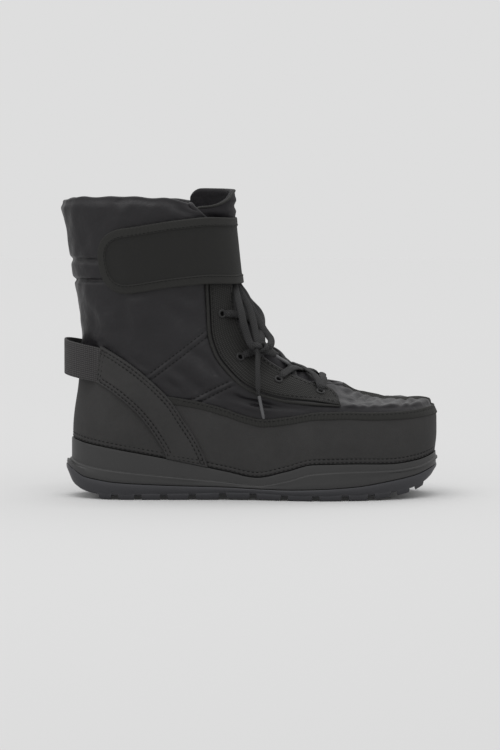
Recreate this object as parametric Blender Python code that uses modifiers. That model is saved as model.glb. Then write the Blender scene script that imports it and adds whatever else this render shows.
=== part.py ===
"""Right-foot winter boot: a padded, laced nylon shaft on a cupped rubber sole, made as a bootmaker's set of pieces.

The tables are in millimetres. +X points to the toe, +Z is up and -Y is the outer side of the foot.
The upper is one surface, worked out by upper_point from a short table of sections. Each panel that lies on it
is the layer between two offsets of that surface, cut by an outline drawn in the side view.
"""

import math
from collections import namedtuple

import bmesh
import bpy
import numpy as np
from mathutils import Matrix, Vector

# Driving sizes
MM = 0.001
ORIGIN = (-0.8, 2.4, 0.0)  # middle of the boot's box on the floor, from the middle of the sole
COLUMNS = 36  # points round each section of the upper and the sole
GAP = 0.3  # clearance where two pieces meet
UPPER_WALL = 3.5  # nylon, padding and pile lining together
RIM_LAP = 2.9  # the sole's rim stands this far outside the upper
TOE_SWING = 9.0  # how far the toe bends to the inner side
SWING_START = -30.0
SWING_END = 205.0  # beyond the toe, which takes about two thirds of the swing

# Layers on the upper, as distances out from its surface
PANEL = (GAP, 2.0)  # rand, heel counter and eyestays
STAY = (2.0 + GAP, 3.9)  # heel stays, sewn over the rand and the counter
PIPING = (GAP, 2.7)  # cord along the back edge of each eyestay
STRAP_THICKNESS = 2.5
STRAP_OVER_SHAFT = 0.5
STRAP_OVER_EYESTAY = 2.7 + GAP
STRAP_OVER_THROAT = 2.2

# Sections of the upper, one row each from the sole's rim to the collar, then one above it for the tongue.
# Heel, waist and ball are half widths at fixed shares of the section's length. The two rounds say how far
# from each end the width starts to close, and front_power how full the front end is.
Section = namedtuple(
    "Section", "back_x back_z front_x front_z heel waist ball back_round front_round front_power"
)
SECTIONS = (
    Section(-142.3, 47.2, 147.2, 35.5, 34.5, 34.5, 48.5, 48, 88, 2.30),
    Section(-142.0, 57.0, 148.8, 52.0, 36.0, 36.5, 50.2, 48, 88, 2.30),
    Section(-140.8, 70.0, 148.8, 66.0, 37.0, 38.0, 50.0, 48, 88, 2.25),
    Section(-139.7, 77.0, 146.0, 73.8, 37.5, 38.4, 48.6, 49, 86, 2.10),
    Section(-139.0, 82.0, 137.2, 77.4, 37.8, 38.7, 46.6, 50, 85, 1.80),
    Section(-138.4, 86.0, 118.5, 79.0, 38.0, 39.0, 45.2, 50, 85, 1.65),
    Section(-137.9, 90.5, 94.0, 84.4, 38.0, 39.3, 44.0, 51, 84, 1.75),
    Section(-137.4, 96.0, 70.0, 92.4, 38.0, 39.6, 43.0, 52, 84, 1.85),
    Section(-136.9, 104.0, 45.5, 100.4, 38.2, 39.9, 42.2, 54, 84, 1.95),
    Section(-136.5, 114.0, 23.0, 112.2, 38.6, 40.3, 41.8, 56, 82, 2.0),
    Section(-136.3, 128.0, 6.6, 130.5, 39.6, 41.4, 41.9, 58, 78, 2.0),
    Section(-138.0, 144.0, -4.4, 151.0, 41.0, 43.2, 42.6, 60, 72, 2.0),
    Section(-141.0, 163.0, -10.0, 168.0, 42.6, 45.2, 43.8, 62, 68, 2.0),
    Section(-143.4, 181.0, -12.2, 184.0, 43.7, 46.7, 45.0, 63, 66, 2.0),
    Section(-147.2, 203.0, -14.2, 203.0, 44.7, 48.2, 46.2, 64, 66, 2.0),
    Section(-151.0, 226.0, -16.2, 223.0, 45.6, 49.2, 47.2, 65, 67, 2.0),
    Section(-153.2, 239.4, -17.0, 238.0, 46.0, 49.6, 47.6, 66, 68, 2.0),
    Section(-154.4, 255.0, -17.4, 253.0, 46.2, 49.8, 47.8, 66, 68, 2.0),
)
WIDTH_AT = (0.15, 0.42, 0.70)  # where heel, waist and ball are measured, as shares of the section's length
BACK_POWER = 2.0
COLLAR_ROW = len(SECTIONS) - 2
WAVE_ROWS = 3.0  # the rim's wave fades out of the sections over this many rows

# Lines round the side of the sole, by the place along the boot
SoleRow = namedtuple("SoleRow", "x rim step tread ground flare bed")
SOLE = (
    SoleRow(-142.3, 47.0, 31.4, 27.0, 17.6, 7.0, 33.0),
    SoleRow(-138.0, 45.8, 28.6, 23.0, 7.6, 6.4, 33.0),
    SoleRow(-131.0, 44.0, 26.6, 18.2, 2.8, 5.6, 33.0),
    SoleRow(-121.0, 42.1, 24.8, 16.0, 0.7, 5.0, 33.0),
    SoleRow(-108.0, 39.8, 23.1, 14.2, 0.0, 4.8, 33.0),
    SoleRow(-60.0, 30.8, 18.3, 11.8, 0.0, 4.6, 29.5),
    SoleRow(-20.0, 22.2, 14.4, 10.6, 1.2, 4.6, 21.0),
    SoleRow(5.0, 17.5, 11.8, 9.4, 1.0, 4.6, 16.8),
    SoleRow(28.0, 22.5, 15.7, 9.0, 0.0, 4.6, 18.5),
    SoleRow(50.0, 28.4, 21.9, 9.6, 0.0, 4.6, 19.5),
    SoleRow(82.0, 28.9, 23.7, 11.4, 0.0, 4.4, 20.5),
    SoleRow(111.0, 28.3, 24.0, 15.8, 2.4, 4.0, 22.0),
    SoleRow(132.0, 30.5, 26.2, 20.0, 6.8, 3.6, 24.5),
    SoleRow(143.0, 33.5, 30.0, 24.3, 13.6, 3.3, 26.5),
    SoleRow(147.2, 35.3, 32.0, 26.2, 19.6, 3.2, 27.5),
)
STEP_LEDGE = 1.1  # width of the ledge that runs round the sole's side
STEP_HEIGHT = 1.4
TREAD_TUCK = 1.6  # how far the tread's bottom edge lies inside its side
LUG_DEPTH = 3.4
LUG_INSET = 3.6
LUG_LEAST = 13.0  # cells of the bottom narrower than this carry no lug
INSOLE_THICKNESS = 4.0

# Outlines drawn in the side view, as (x, z) points along a smooth line
RAND_TOP = (
    (152, 74.5), (145, 73.2), (126, 70.8), (100, 70.2), (75, 71.2), (55, 71.0),
    (30, 67.2), (10, 65.0), (-3, 67.4), (-22, 73.8), (-42, 79.2), (-60, 82.4), (-96, 87.0),
)
STAY_UPPER = (
    (-125.4, 126.2), (-119.6, 123.6), (-96, 109.3), (-78.6, 94.9), (-64.2, 80.4),
    (-53.9, 64.9), (-43.4, 48.3), (-35.3, 29.7), (-31, 12),
)
STAY_LOWER = (
    (-125.4, 95.6), (-109.6, 85.5), (-96, 74.1), (-84, 60.7), (-75.5, 48.3), (-70.2, 39.0), (-62, 12),
)
COUNTER_TOP_Z = 112.0  # at the back of the heel, behind the pull loop
COUNTER_LAP = 3.0  # the counter stops this far inside the stay's upper edge
THROAT_EDGE = (
    (78, 96.0), (66, 88.6), (54.4, 91.4), (34.7, 99.0), (16.1, 109.0), (5.0, 118.0), (-5, 130.0), (-11.5, 146.0),
    (-15, 166.0), (-17.5, 190.0), (-21, 210.0), (-30, 221.0), (-40, 231.0), (-52, 244.0), (-58, 251.0),
)
EYESTAY_BACK = (
    (-34.5, 206.0), (-36, 172.0), (-35.3, 158.0), (-34, 135.0), (-28.8, 117.3), (-18.5, 103.0), (-5.5, 91.6),
    (12.6, 83.8), (35.8, 78.9), (71.8, 75.6),
)
PIPING_WIDTH = 2.6
EYESTAY_TOP_Z = 206.0
THROAT_CLEARANCE = 0.6  # the eyestay's edge stands back from the upper's throat edge
Strap = namedtuple("Strap", "x centre_z")
STRAP_LINE = (Strap(-125, 190.5), Strap(-97, 193.7), Strap(-60, 198.4), Strap(-37, 200.2), Strap(-10, 198.4),
              Strap(12, 198.0))
STRAP_HALF_WIDTH = 26.6
STRAP_END_X = -124.5
STRAP_END_LENGTH = 27.0
STRAP_RAMP = (-66.0, -44.0)  # the strap climbs from the shaft on to the eyestay between these

TONGUE_THICKNESS = 4.5
TONGUE_LAP = 15.0  # the tongue reaches this far behind the throat's edge
TONGUE_BACK_X = -47.0  # the edges of its free top
TONGUE_TOP_ROW = 16.66
TONGUE_DROP_ROWS = 0.85  # the top's outer corner is pulled down by these many rows
TONGUE_LEAN = 10.5  # above the strap it leans this far forward
GROOVE_DEPTH = 2.4  # sewn channels round the shaft
GROOVE_ROWS = (12.70, 13.50)
GROOVE_SPAN = 0.25

LOOP_X = -125.9  # where the pull loop meets the stays
LOOP_BACK_X = -150.2
LOOP_HALF_GAP = 27.5
LOOP_WIDTH = 25.5
LOOP_MIDDLE_Z = (108.6, 112.4)  # at the stays and at the back
LOOP_THICKNESS = 1.6

EYELETS = ((55.2, 85.6), (21.5, 95.6), (-9.3, 114.0), (-24.2, 149.0))
EYELET_FLANGE = 3.7
EYELET_BARREL = 2.3
EYELET_BORE = 1.7
EYELET_LIP = 1.0
EYELET_DEPTH = 1.5
EYELET_SIDES = 8
LACE_RADIUS = 2.2
LACE_OVER_EYELET = PANEL[1] + EYELET_LIP + 4 * GAP + LACE_RADIUS
LACE_OVER_EDGE = PANEL[1] + 2 * GAP + LACE_RADIUS
LACE_OVER_TONGUE = (1.0, 1.0, 0.4, -0.6)  # bottom bar, then each pair of crossings
AGLET_RADIUS = 1.3

# The lace's free parts, as (x, y, z) points along a smooth line
KNOT_MIDDLE = (7.0, -36.5, 121.5)
KNOT_RADII = (6.6, 4.2, 5.2)
LACE_ROUTES = {
    "lace_loop_outer": (
        (-1.6, -38.0, 124.6), (-5.0, -36.5, 131.5), (-7.8, -36.0, 141.0), (-8.8, -32.6, 151.0), (-11.0, -22.5, 162.5),
        (-13.4, -12.0, 172.0), (-13.8, -9.4, 178.4), (-13.6, -6.2, 178.4), (-12.6, -4.8, 172.6), (-6.6, -8.0, 164.5),
        (-0.4, -15.8, 155.0), (2.6, -24.0, 144.5), (4.0, -30.0, 135.0), (5.0, -34.0, 128.4),
    ),
    "lace_loop_inner": (
        (15.4, -34.2, 123.6), (16.4, -28.5, 127.4), (12.6, -20.5, 134.0), (7.0, -13.0, 144.0), (0.8, -7.0, 154.5),
        (-5.0, -2.5, 163.5), (-10.8, 0.4, 171.6), (-12.8, 2.6, 178.0), (-12.9, 6.0, 178.0), (-11.4, 7.6, 171.8),
        (-4.8, 8.0, 161.0), (0.8, 7.0, 154.5), (6.0, 3.4, 149.4), (8.6, -3.0, 143.5), (8.8, -12.0, 137.4),
        (8.6, -24.0, 132.0), (8.8, -31.6, 129.2),
    ),
    "lace_end_outer": (
        (5.8, -39.5, 117.0), (5.2, -44.5, 108.5), (5.4, -48.0, 100.0), (5.6, -49.8, 92.0), (6.2, -50.2, 85.4),
    ),
    "lace_end_inner": (
        (14.2, -35.2, 119.2), (17.0, -30.4, 119.4), (19.8, -24.8, 118.6),
    ),
}
AGLETS = {
    "aglet_outer": ((6.4, -50.3, 84.9), (10.2, -50.8, 66.6)),
    "aglet_inner": ((20.4, -23.8, 118.2), (31.0, -16.4, 112.2)),
}
SIDES = (("outer", -110.0, -5.0), ("inner", 5.0, 110.0))  # the foot's outer side lies towards -Y

Look = namedtuple("Look", "colour roughness metallic")
LOOKS = {
    "tread_rubber": Look((0.020, 0.020, 0.023), 0.50, 0.0),
    "sidewall_rubber": Look((0.017, 0.017, 0.018), 0.60, 0.0),
    "insole_felt": Look((0.022, 0.022, 0.024), 0.95, 0.0),
    "padded_nylon": Look((0.017, 0.016, 0.019), 0.50, 0.0),
    "coated_suede": Look((0.018, 0.018, 0.017), 0.82, 0.0),
    "grid_webbing": Look((0.017, 0.017, 0.016), 0.85, 0.0),
    "piping": Look((0.024, 0.024, 0.022), 0.75, 0.0),
    "strap_webbing": Look((0.017, 0.017, 0.016), 0.88, 0.0),
    "eyelet_enamel": Look((0.020, 0.020, 0.020), 0.35, 0.0),
    "lace_cord": Look((0.021, 0.021, 0.022), 0.85, 0.0),
    "aglet_plastic": Look((0.35, 0.35, 0.36), 0.35, 0.0),
}


# Curves through tables
def smooth_through(keys, values, at):
    """Monotone cubic through a table's rows, held level beyond its ends."""
    keys = np.asarray(keys, float)
    values = np.asarray(values, float)
    steps = np.diff(keys)
    slopes = np.diff(values) / steps
    tangents = np.concatenate(([slopes[0]], np.zeros(len(keys) - 2), [slopes[-1]]))
    for k in range(1, len(keys) - 1):
        if slopes[k - 1] * slopes[k] > 0:
            before = 2 * steps[k] + steps[k - 1]
            after = steps[k] + 2 * steps[k - 1]
            tangents[k] = (before + after) / (before / slopes[k - 1] + after / slopes[k])
    at = np.clip(at, keys[0], keys[-1])
    k = np.clip(np.searchsorted(keys, at, side="right") - 1, 0, len(keys) - 2)
    t = (at - keys[k]) / steps[k]
    return (
        (1 + 2 * t) * (1 - t) ** 2 * values[k]
        + t * (1 - t) ** 2 * steps[k] * tangents[k]
        + t * t * (3 - 2 * t) * values[k + 1]
        + t * t * (t - 1) * steps[k] * tangents[k + 1]
    )


def smooth_line(points, count):
    """Points spread evenly along a smooth line through a few points."""
    points = np.asarray(points, float)
    along = np.concatenate(([0], np.cumsum(np.linalg.norm(np.diff(points, axis=0), axis=1))))
    at = np.linspace(0, along[-1], count)
    return np.column_stack([smooth_through(along, column, at) for column in points.T])


def moved_sideways(line, distance):
    """The line moved to its left by a distance, looking along it."""
    tangent = np.gradient(line, axis=0)
    tangent /= np.linalg.norm(tangent, axis=1)[:, None]
    return line + distance * np.column_stack([-tangent[:, 1], tangent[:, 0]])


def ease(low, high, at):
    t = np.clip((np.asarray(at, float) - low) / (high - low), 0, 1)
    return t * t * (3 - 2 * t)


def section_value(name, row):
    return smooth_through(range(len(SECTIONS)), [getattr(s, name) for s in SECTIONS], row)


def sole_line(name):
    """One of the sole's lines, as a function of the place along the boot."""
    def value(x):
        return smooth_through([r.x for r in SOLE], [getattr(r, name) for r in SOLE], x)
    return value


rim, step, tread, ground, flare, bed = (sole_line(n) for n in SoleRow._fields[1:])


def tread_base(x):
    """Bottom of the tread between its lugs."""
    return ground(x) + np.minimum(LUG_DEPTH, 0.42 * (tread(x) - ground(x)))


# The upper's surface
def swing(x):
    """How far the middle of the boot lies to the inner side."""
    return TOE_SWING * ease(SWING_START, SWING_END, x)


def side_place(row, share):
    """Side-view x and z at a share of a section's length from back to front."""
    back_x, back_z = section_value("back_x", row), section_value("back_z", row)
    front_x, front_z = section_value("front_x", row), section_value("front_z", row)
    x = back_x + (front_x - back_x) * share
    z = back_z + (front_z - back_z) * share
    level = SECTIONS[0].back_z + (SECTIONS[0].front_z - SECTIONS[0].back_z) * share
    wave = np.clip(1 - np.asarray(row, float) / WAVE_ROWS, 0, 1) ** 1.5
    return x, z + wave * (rim(x) + GAP - level)


def upper_place(row, around):
    """A point of the upper: around is 0 at the heel, -1 and 1 at the toe, below 0 on the outer side."""
    around = (np.asarray(around, float) + 1) % 2 - 1
    share = (1 - np.cos(math.pi * np.abs(around))) / 2
    x, z = side_place(row, share)
    length = section_value("front_x", row) - section_value("back_x", row)
    width = [section_value(n, row) for n in ("heel", "waist", "ball")]
    low, middle, high = WIDTH_AT
    half = np.where(
        share < middle,
        width[0] + (width[1] - width[0]) * ease(low, middle, share),
        width[1] + (width[2] - width[1]) * ease(middle, high, share),
    )
    from_back = np.clip(share * length / section_value("back_round", row), 0, 1)
    from_front = np.clip((1 - share) * length / section_value("front_round", row), 0, 1)
    power = section_value("front_power", row)
    half = half * (1 - (1 - from_back) ** BACK_POWER) ** (1 / BACK_POWER)
    half = half * (1 - (1 - from_front) ** power) ** (1 / power)
    return np.stack([x, swing(x) + np.sign(around) * half, z], axis=-1)


def upper_normal(row, around):
    """Outward direction, kept level at the rim and at the collar so that layers end on one line."""
    step = 0.006
    up = upper_place(row + step, around) - upper_place(row - step, around)
    along = upper_place(row, around + step) - upper_place(row, around - step)
    normal = np.cross(up, along)
    level = ease(0.0, 1.2, row) * (1 - ease(COLLAR_ROW - 0.8, COLLAR_ROW, row))
    normal = normal * np.stack([np.ones_like(level), np.ones_like(level), level], axis=-1)
    return normal / np.linalg.norm(normal, axis=-1, keepdims=True)


def upper_point(row, around, out):
    row = np.asarray(row, float) + np.zeros_like(np.asarray(around, float))
    normal = upper_normal(row, np.asarray(around, float))
    return upper_place(row, around) + normal * np.asarray(out, float)[..., None]


def place_on_upper(x, z, side):
    """The section row and the place around it of a side-view point, on the side given by its sign."""
    low, high = 0.0, float(len(SECTIONS) - 1)
    for _ in range(48):
        row = (low + high) / 2
        share = np.clip(
            (x - section_value("back_x", row))
            / (section_value("front_x", row) - section_value("back_x", row)), 0, 1)
        if side_place(row, share)[1] < z:
            low = row
        else:
            high = row
    return row, side * math.acos(1 - 2 * share) / math.pi


def on_upper(x, z, side, out):
    row, around = place_on_upper(x, z, side)
    return upper_point(np.array([row]), np.array([around]), np.array([out]))[0]


AROUND = np.arange(COLUMNS) * 2 / COLUMNS - 1
SHAFT_ROWS = (
    GROOVE_ROWS[0] - GROOVE_SPAN, GROOVE_ROWS[0], GROOVE_ROWS[0] + GROOVE_SPAN,
    GROOVE_ROWS[1] - GROOVE_SPAN, GROOVE_ROWS[1], GROOVE_ROWS[1] + GROOVE_SPAN, 15.0, COLLAR_ROW,
)
OUTER_ROWS = (0, 1, 2, 2.6, 3.2, 4, 5, 6, 7, 8, 9, 10, 11) + SHAFT_ROWS
INNER_ROWS = (0, 1.5, 3, 5.5, 7, 8, 9, 10, 11, 12.5, 14.5, 15.4, COLLAR_ROW)
PANEL_ROWS = (0, 1, 2, 2.6, 3.2, 4, 5, 6, 7, 8, 9, 10, 11, SHAFT_ROWS[0], SHAFT_ROWS[5])


def ring(row, out):
    """One closed section at a distance out from the upper's surface."""
    return upper_point(np.zeros(COLUMNS) + row, AROUND, np.zeros(COLUMNS) + out)


# Objects
def material(name):
    made = bpy.data.materials.get(name)
    if made is None:
        look = LOOKS[name]
        made = bpy.data.materials.new(name)
        made.use_nodes = True
        shader = made.node_tree.nodes["Principled BSDF"]
        shader.inputs["Base Color"].default_value = (*look.colour, 1.0)
        shader.inputs["Roughness"].default_value = look.roughness
        shader.inputs["Metallic"].default_value = look.metallic
    return made


def add_object(name, data, look=None):
    """Puts a piece under the boot's frame; what has no look is a cutter."""
    obj = bpy.data.objects.new(name, data)
    obj.parent = bpy.data.objects["boot_frame"]
    if look:
        data.materials.append(material(look))
        bpy.data.collections["winter_boot"].objects.link(obj)
    else:
        bpy.data.collections["cutters"].objects.link(obj)
        obj.hide_render = True
        obj.display_type = "WIRE"
    return obj


def add_mesh(name, bm, look=None):
    bmesh.ops.recalc_face_normals(bm, faces=bm.faces)
    mesh = bpy.data.meshes.new(name)
    bm.to_mesh(mesh)
    bm.free()
    mesh.shade_smooth()
    mesh.set_sharp_from_angle(angle=math.radians(35))
    return add_object(name, mesh, look)


def add_ring(bm, points):
    return [bm.verts.new((np.asarray(p) - ORIGIN) * MM) for p in points]


def bridge(bm, first, second, falling=False):
    """Joins two rings; the cells of a falling wall are halved the same way as those of a rising one."""
    count = len(first)
    for j in range(count):
        k = (j + 1) % count
        if falling:
            bm.faces.new((first[j], first[k], second[j]))
            bm.faces.new((first[k], second[k], second[j]))
        else:
            bm.faces.new((first[j], first[k], second[k]))
            bm.faces.new((first[j], second[k], second[j]))


def wall(name, rising, falling, look):
    """A closed wall: sections up the outside, then down the inside."""
    bm = bmesh.new()
    rings = [add_ring(bm, points) for points in list(rising) + list(falling)]
    for k, first in enumerate(rings):
        bridge(bm, first, rings[(k + 1) % len(rings)], len(rising) <= k < len(rings) - 1)
    return add_mesh(name, bm, look)


def layer(name, out, rows, look):
    """The closed layer between two distances from the upper's surface; a distance may vary over it."""
    inner, outer = out
    rising = [ring(r, outer(r) if callable(outer) else outer) for r in rows]
    falling = [ring(r, inner(r) if callable(inner) else inner) for r in reversed(rows)]
    return wall(name, rising, falling, look)


def close_plan(bm, edge, height, across):
    """Closes a plan outline with rows of cells from side to side, at a height worked out from x."""
    half = COLUMNS // 2
    rows = []
    for k in range(1, half):
        outer_side, inner_side = edge[half - k], edge[(half + k) % COLUMNS]
        row = [outer_side]
        for c in range(1, across):
            point = outer_side.co.lerp(inner_side.co, c / across)
            point.z = height(point.x / MM + ORIGIN[0]) * MM
            row.append(bm.verts.new(point))
        rows.append(row + [inner_side])
    cells = []
    for first, second in zip(rows, rows[1:]):
        for c in range(across):
            cells.append(bm.faces.new((first[c], first[c + 1], second[c + 1], second[c])))
    for tip, row in ((edge[half], rows[0]), (edge[0], rows[-1])):
        for c in range(across):
            bm.faces.new((tip, row[c], row[c + 1]))
    return cells


def sole_ring(out, line, shift=0.0):
    """A plan outline round the sole, at a height that follows one of the sole's lines."""
    edge = upper_place(np.zeros(COLUMNS), AROUND)
    distance = out(edge[:, 0]) if callable(out) else np.full(COLUMNS, float(out))
    points = edge + upper_normal(np.zeros(COLUMNS), AROUND) * distance[:, None]
    points[:, 2] = line(edge[:, 0]) + shift
    return points


# Cuts
def prism(name, outline, low_y=-110.0, high_y=110.0):
    """A side-view outline carried through the boot from side to side."""
    bm = bmesh.new()
    face = bm.faces.new(add_ring(bm, [(x, low_y, z) for x, z in outline]))
    pulled = bmesh.ops.extrude_face_region(bm, geom=[face])["geom"]
    moved = [v for v in pulled if isinstance(v, bmesh.types.BMVert)]
    bmesh.ops.translate(bm, verts=moved, vec=(0, (high_y - low_y) * MM, 0))
    return add_mesh(name, bm)


def cut(obj, other, operation):
    modifier = obj.modifiers.new(f"{operation.lower()}_{other.name}", "BOOLEAN")
    modifier.operation = operation
    modifier.object = other


def settled_mesh(obj):
    """The object's mesh with its modifiers worked in and its seams closed."""
    bpy.context.view_layer.update()
    mesh = bpy.data.meshes.new_from_object(obj.evaluated_get(bpy.context.evaluated_depsgraph_get()))
    bm = bmesh.new()
    bm.from_mesh(mesh)
    bmesh.ops.remove_doubles(bm, verts=bm.verts, dist=0.00001)
    bmesh.ops.recalc_face_normals(bm, faces=bm.faces)
    bm.to_mesh(mesh)
    bm.free()
    return mesh


# Pieces of the sole
def make_outsole():
    bm = bmesh.new()
    top = add_ring(bm, sole_ring(flare, tread, -GAP))
    bulge = add_ring(bm, sole_ring(lambda x: flare(x) + 0.5, lambda x: (tread(x) + tread_base(x)) / 2))
    foot = add_ring(bm, sole_ring(lambda x: flare(x) - TREAD_TUCK, tread_base))
    bridge(bm, bulge, top)
    bridge(bm, foot, bulge)
    close_plan(bm, top, lambda x: tread(x) - GAP, 2)
    cells = close_plan(bm, foot, tread_base, 4)
    wide = [f for f in cells if min(e.calc_length() for e in f.edges) > LUG_LEAST * MM]
    bmesh.ops.recalc_face_normals(bm, faces=bm.faces)
    bmesh.ops.inset_individual(bm, faces=wide, thickness=LUG_INSET * MM, use_even_offset=True)
    lugs = bmesh.ops.extrude_discrete_faces(bm, faces=wide)["faces"]
    for vert in {v for f in lugs for v in f.verts}:
        vert.co.z = ground(vert.co.x / MM + ORIGIN[0]) * MM
    add_mesh("outsole", bm, "tread_rubber")


def make_midsole():
    inside = -(UPPER_WALL + 1.0)
    bm = bmesh.new()
    rings = [
        add_ring(bm, points)
        for points in (
            sole_ring(flare, tread),
            sole_ring(lambda x: flare(x) - 0.3, lambda x: 0.25 * tread(x) + 0.75 * step(x)),
            sole_ring(RIM_LAP + STEP_LEDGE, step, -STEP_HEIGHT / 2),
            sole_ring(RIM_LAP + 0.2, step, STEP_HEIGHT / 2),
            sole_ring(RIM_LAP, rim),
            sole_ring(inside, rim),
            sole_ring(inside - 0.4, bed),
        )
    ]
    for lower, upper in zip(rings, rings[1:]):
        bridge(bm, lower, upper)
    close_plan(bm, rings[0], tread, 2)
    close_plan(bm, rings[-1], bed, 2)
    add_mesh("midsole", bm, "sidewall_rubber")


def make_insole():
    edge = -(UPPER_WALL + 2.6)
    bm = bmesh.new()
    lower = add_ring(bm, sole_ring(edge, bed, GAP))
    upper = add_ring(bm, sole_ring(edge, bed, GAP + INSOLE_THICKNESS))
    bridge(bm, lower, upper)
    close_plan(bm, lower, lambda x: bed(x) + GAP, 2)
    close_plan(bm, upper, lambda x: bed(x) + GAP + INSOLE_THICKNESS, 2)
    add_mesh("insole", bm, "insole_felt")


# The upper and its tongue
def make_upper():
    rising = [ring(r, -GROOVE_DEPTH if r in GROOVE_ROWS else 0.0) for r in OUTER_ROWS]
    crest = ring(COLLAR_ROW, -UPPER_WALL / 2)
    crest[:, 2] += UPPER_WALL / 2
    falling = [ring(r, -UPPER_WALL) for r in reversed(INNER_ROWS)]
    upper = wall("upper", rising + [crest], falling, "padded_nylon")
    throat = np.vstack([smooth_line(THROAT_EDGE, 26), [(-58, 275), (125, 275), (125, 96)]])
    cut(upper, prism("throat_cutter", throat), "DIFFERENCE")


def in_front_of_throat(row):
    """How far each point of a section lies in front of the throat's edge, in the side view."""
    edge = smooth_line(THROAT_EDGE, 120)
    flat = upper_place(np.zeros(COLUMNS) + row, AROUND)[:, [0, 2]]
    apart = flat[:, None, :] - edge[None, :, :]
    nearest = np.argmin((apart**2).sum(axis=2), axis=1)
    away = apart[np.arange(COLUMNS), nearest]
    tangent = np.gradient(edge, axis=0)[nearest]
    return (tangent[:, 1] * away[:, 0] - tangent[:, 0] * away[:, 1]) / np.linalg.norm(tangent, axis=1)


def make_tongue():
    face = -(UPPER_WALL + GAP)
    outer_side = -upper_place(np.full(COLUMNS, 16.0), AROUND)[:, 1]
    top = TONGUE_TOP_ROW - TONGUE_DROP_ROWS * ease(2, 36, outer_side)
    rows = (5.5, 7, 8, 9, 10, 11, 12.5, 14.5, 15.4, top)

    def lean(row):
        forward = ease(15.1, 15.9, np.max(row)) * ease(11, 24, in_front_of_throat(np.minimum(row, 15.4)))
        return TONGUE_LEAN * forward

    tongue = layer("tongue", (lambda r: face - TONGUE_THICKNESS + lean(r), lambda r: face + lean(r)), rows,
                   "padded_nylon")
    edge = moved_sideways(smooth_line(THROAT_EDGE[2:12], 16), TONGUE_LAP)
    edge = edge[edge[:, 0] > TONGUE_BACK_X]
    outline = [(96, 70), (84, 76), *edge, (TONGUE_BACK_X, 224), (TONGUE_BACK_X, 280), (60, 280), (120, 120)]
    cut(tongue, prism("tongue_cutter", outline), "INTERSECT")


# Panels that lie on the upper
def by_x(line, x):
    """Height of a side-view line, from the place along the boot."""
    order = np.argsort(line[:, 0])
    return np.interp(x, line[order, 0], line[order, 1])


def make_rand_and_counter():
    """The two meet under the heel stay: below the rand's top along the stay's middle, and above it along that top."""
    stay_top = smooth_line(STAY_UPPER, 20)
    joint = (stay_top + smooth_line(STAY_LOWER, 20)) / 2
    top = smooth_line(RAND_TOP, 24)
    lap = moved_sideways(stay_top, -COUNTER_LAP)
    x = np.linspace(-110, -50, 61)
    corner = x[np.argmax(by_x(joint, x) < by_x(top, x))]
    front = x[np.argmax(by_x(lap, x) < by_x(top, x) + 3 * GAP)]
    down = np.linspace(corner, joint[-1][0], 10)
    seam = np.column_stack([down, by_x(joint, down)])
    rand = layer("rand", PANEL, PANEL_ROWS[:8], "coated_suede")
    outline = [(170, -20), (170, top[0][1]), *top[top[:, 0] > corner + 4], *(seam + (2 * GAP, GAP))]
    cut(rand, prism("rand_cutter", outline), "INTERSECT")
    counter = layer("heel_counter", PANEL, PANEL_ROWS[:12], "coated_suede")
    lap = lap[(lap[:, 1] < COUNTER_TOP_Z) & (lap[:, 0] < front)]
    back = np.linspace(front, corner, 4)
    over = np.column_stack([back, by_x(top, back) + 3 * GAP])
    outline = [(-175, -20), (-175, COUNTER_TOP_Z), (lap[0][0] - 4, COUNTER_TOP_Z), *lap, *over, *(seam - (2 * GAP, GAP))]
    cut(counter, prism("counter_cutter", outline), "INTERSECT")


def make_stays():
    outline = np.vstack([smooth_line(STAY_UPPER, 16), smooth_line(STAY_LOWER, 14)[::-1]])
    for side, low_y, high_y in SIDES:
        stay = layer(f"heel_stay_{side}", STAY, PANEL_ROWS[:13], "coated_suede")
        cut(stay, prism(f"stay_{side}_cutter", outline, low_y, high_y), "INTERSECT")


def make_eyestays():
    back = smooth_line(EYESTAY_BACK, 15)
    edge = moved_sideways(smooth_line(THROAT_EDGE[2:11], 15), THROAT_CLEARANCE)
    edge = edge[edge[:, 1] < EYESTAY_TOP_Z]
    panel = np.vstack([moved_sideways(back, PIPING_WIDTH + GAP), edge, [(edge[-1][0], EYESTAY_TOP_Z)]])
    cord = np.vstack([back, moved_sideways(back, PIPING_WIDTH)[::-1]])
    rows = PANEL_ROWS[3:]
    for side, low_y, high_y in SIDES:
        eyestay = layer(f"eyestay_{side}", PANEL, rows, "grid_webbing")
        cut(eyestay, prism(f"eyestay_{side}_cutter", panel, low_y, high_y), "INTERSECT")
        cut(eyestay, eyelet_holes(side, math.copysign(1, high_y + low_y)), "DIFFERENCE")
        piping = layer(f"piping_{side}", PIPING, rows, "piping")
        cut(piping, prism(f"piping_{side}_cutter", cord, low_y, high_y), "INTERSECT")


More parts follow.
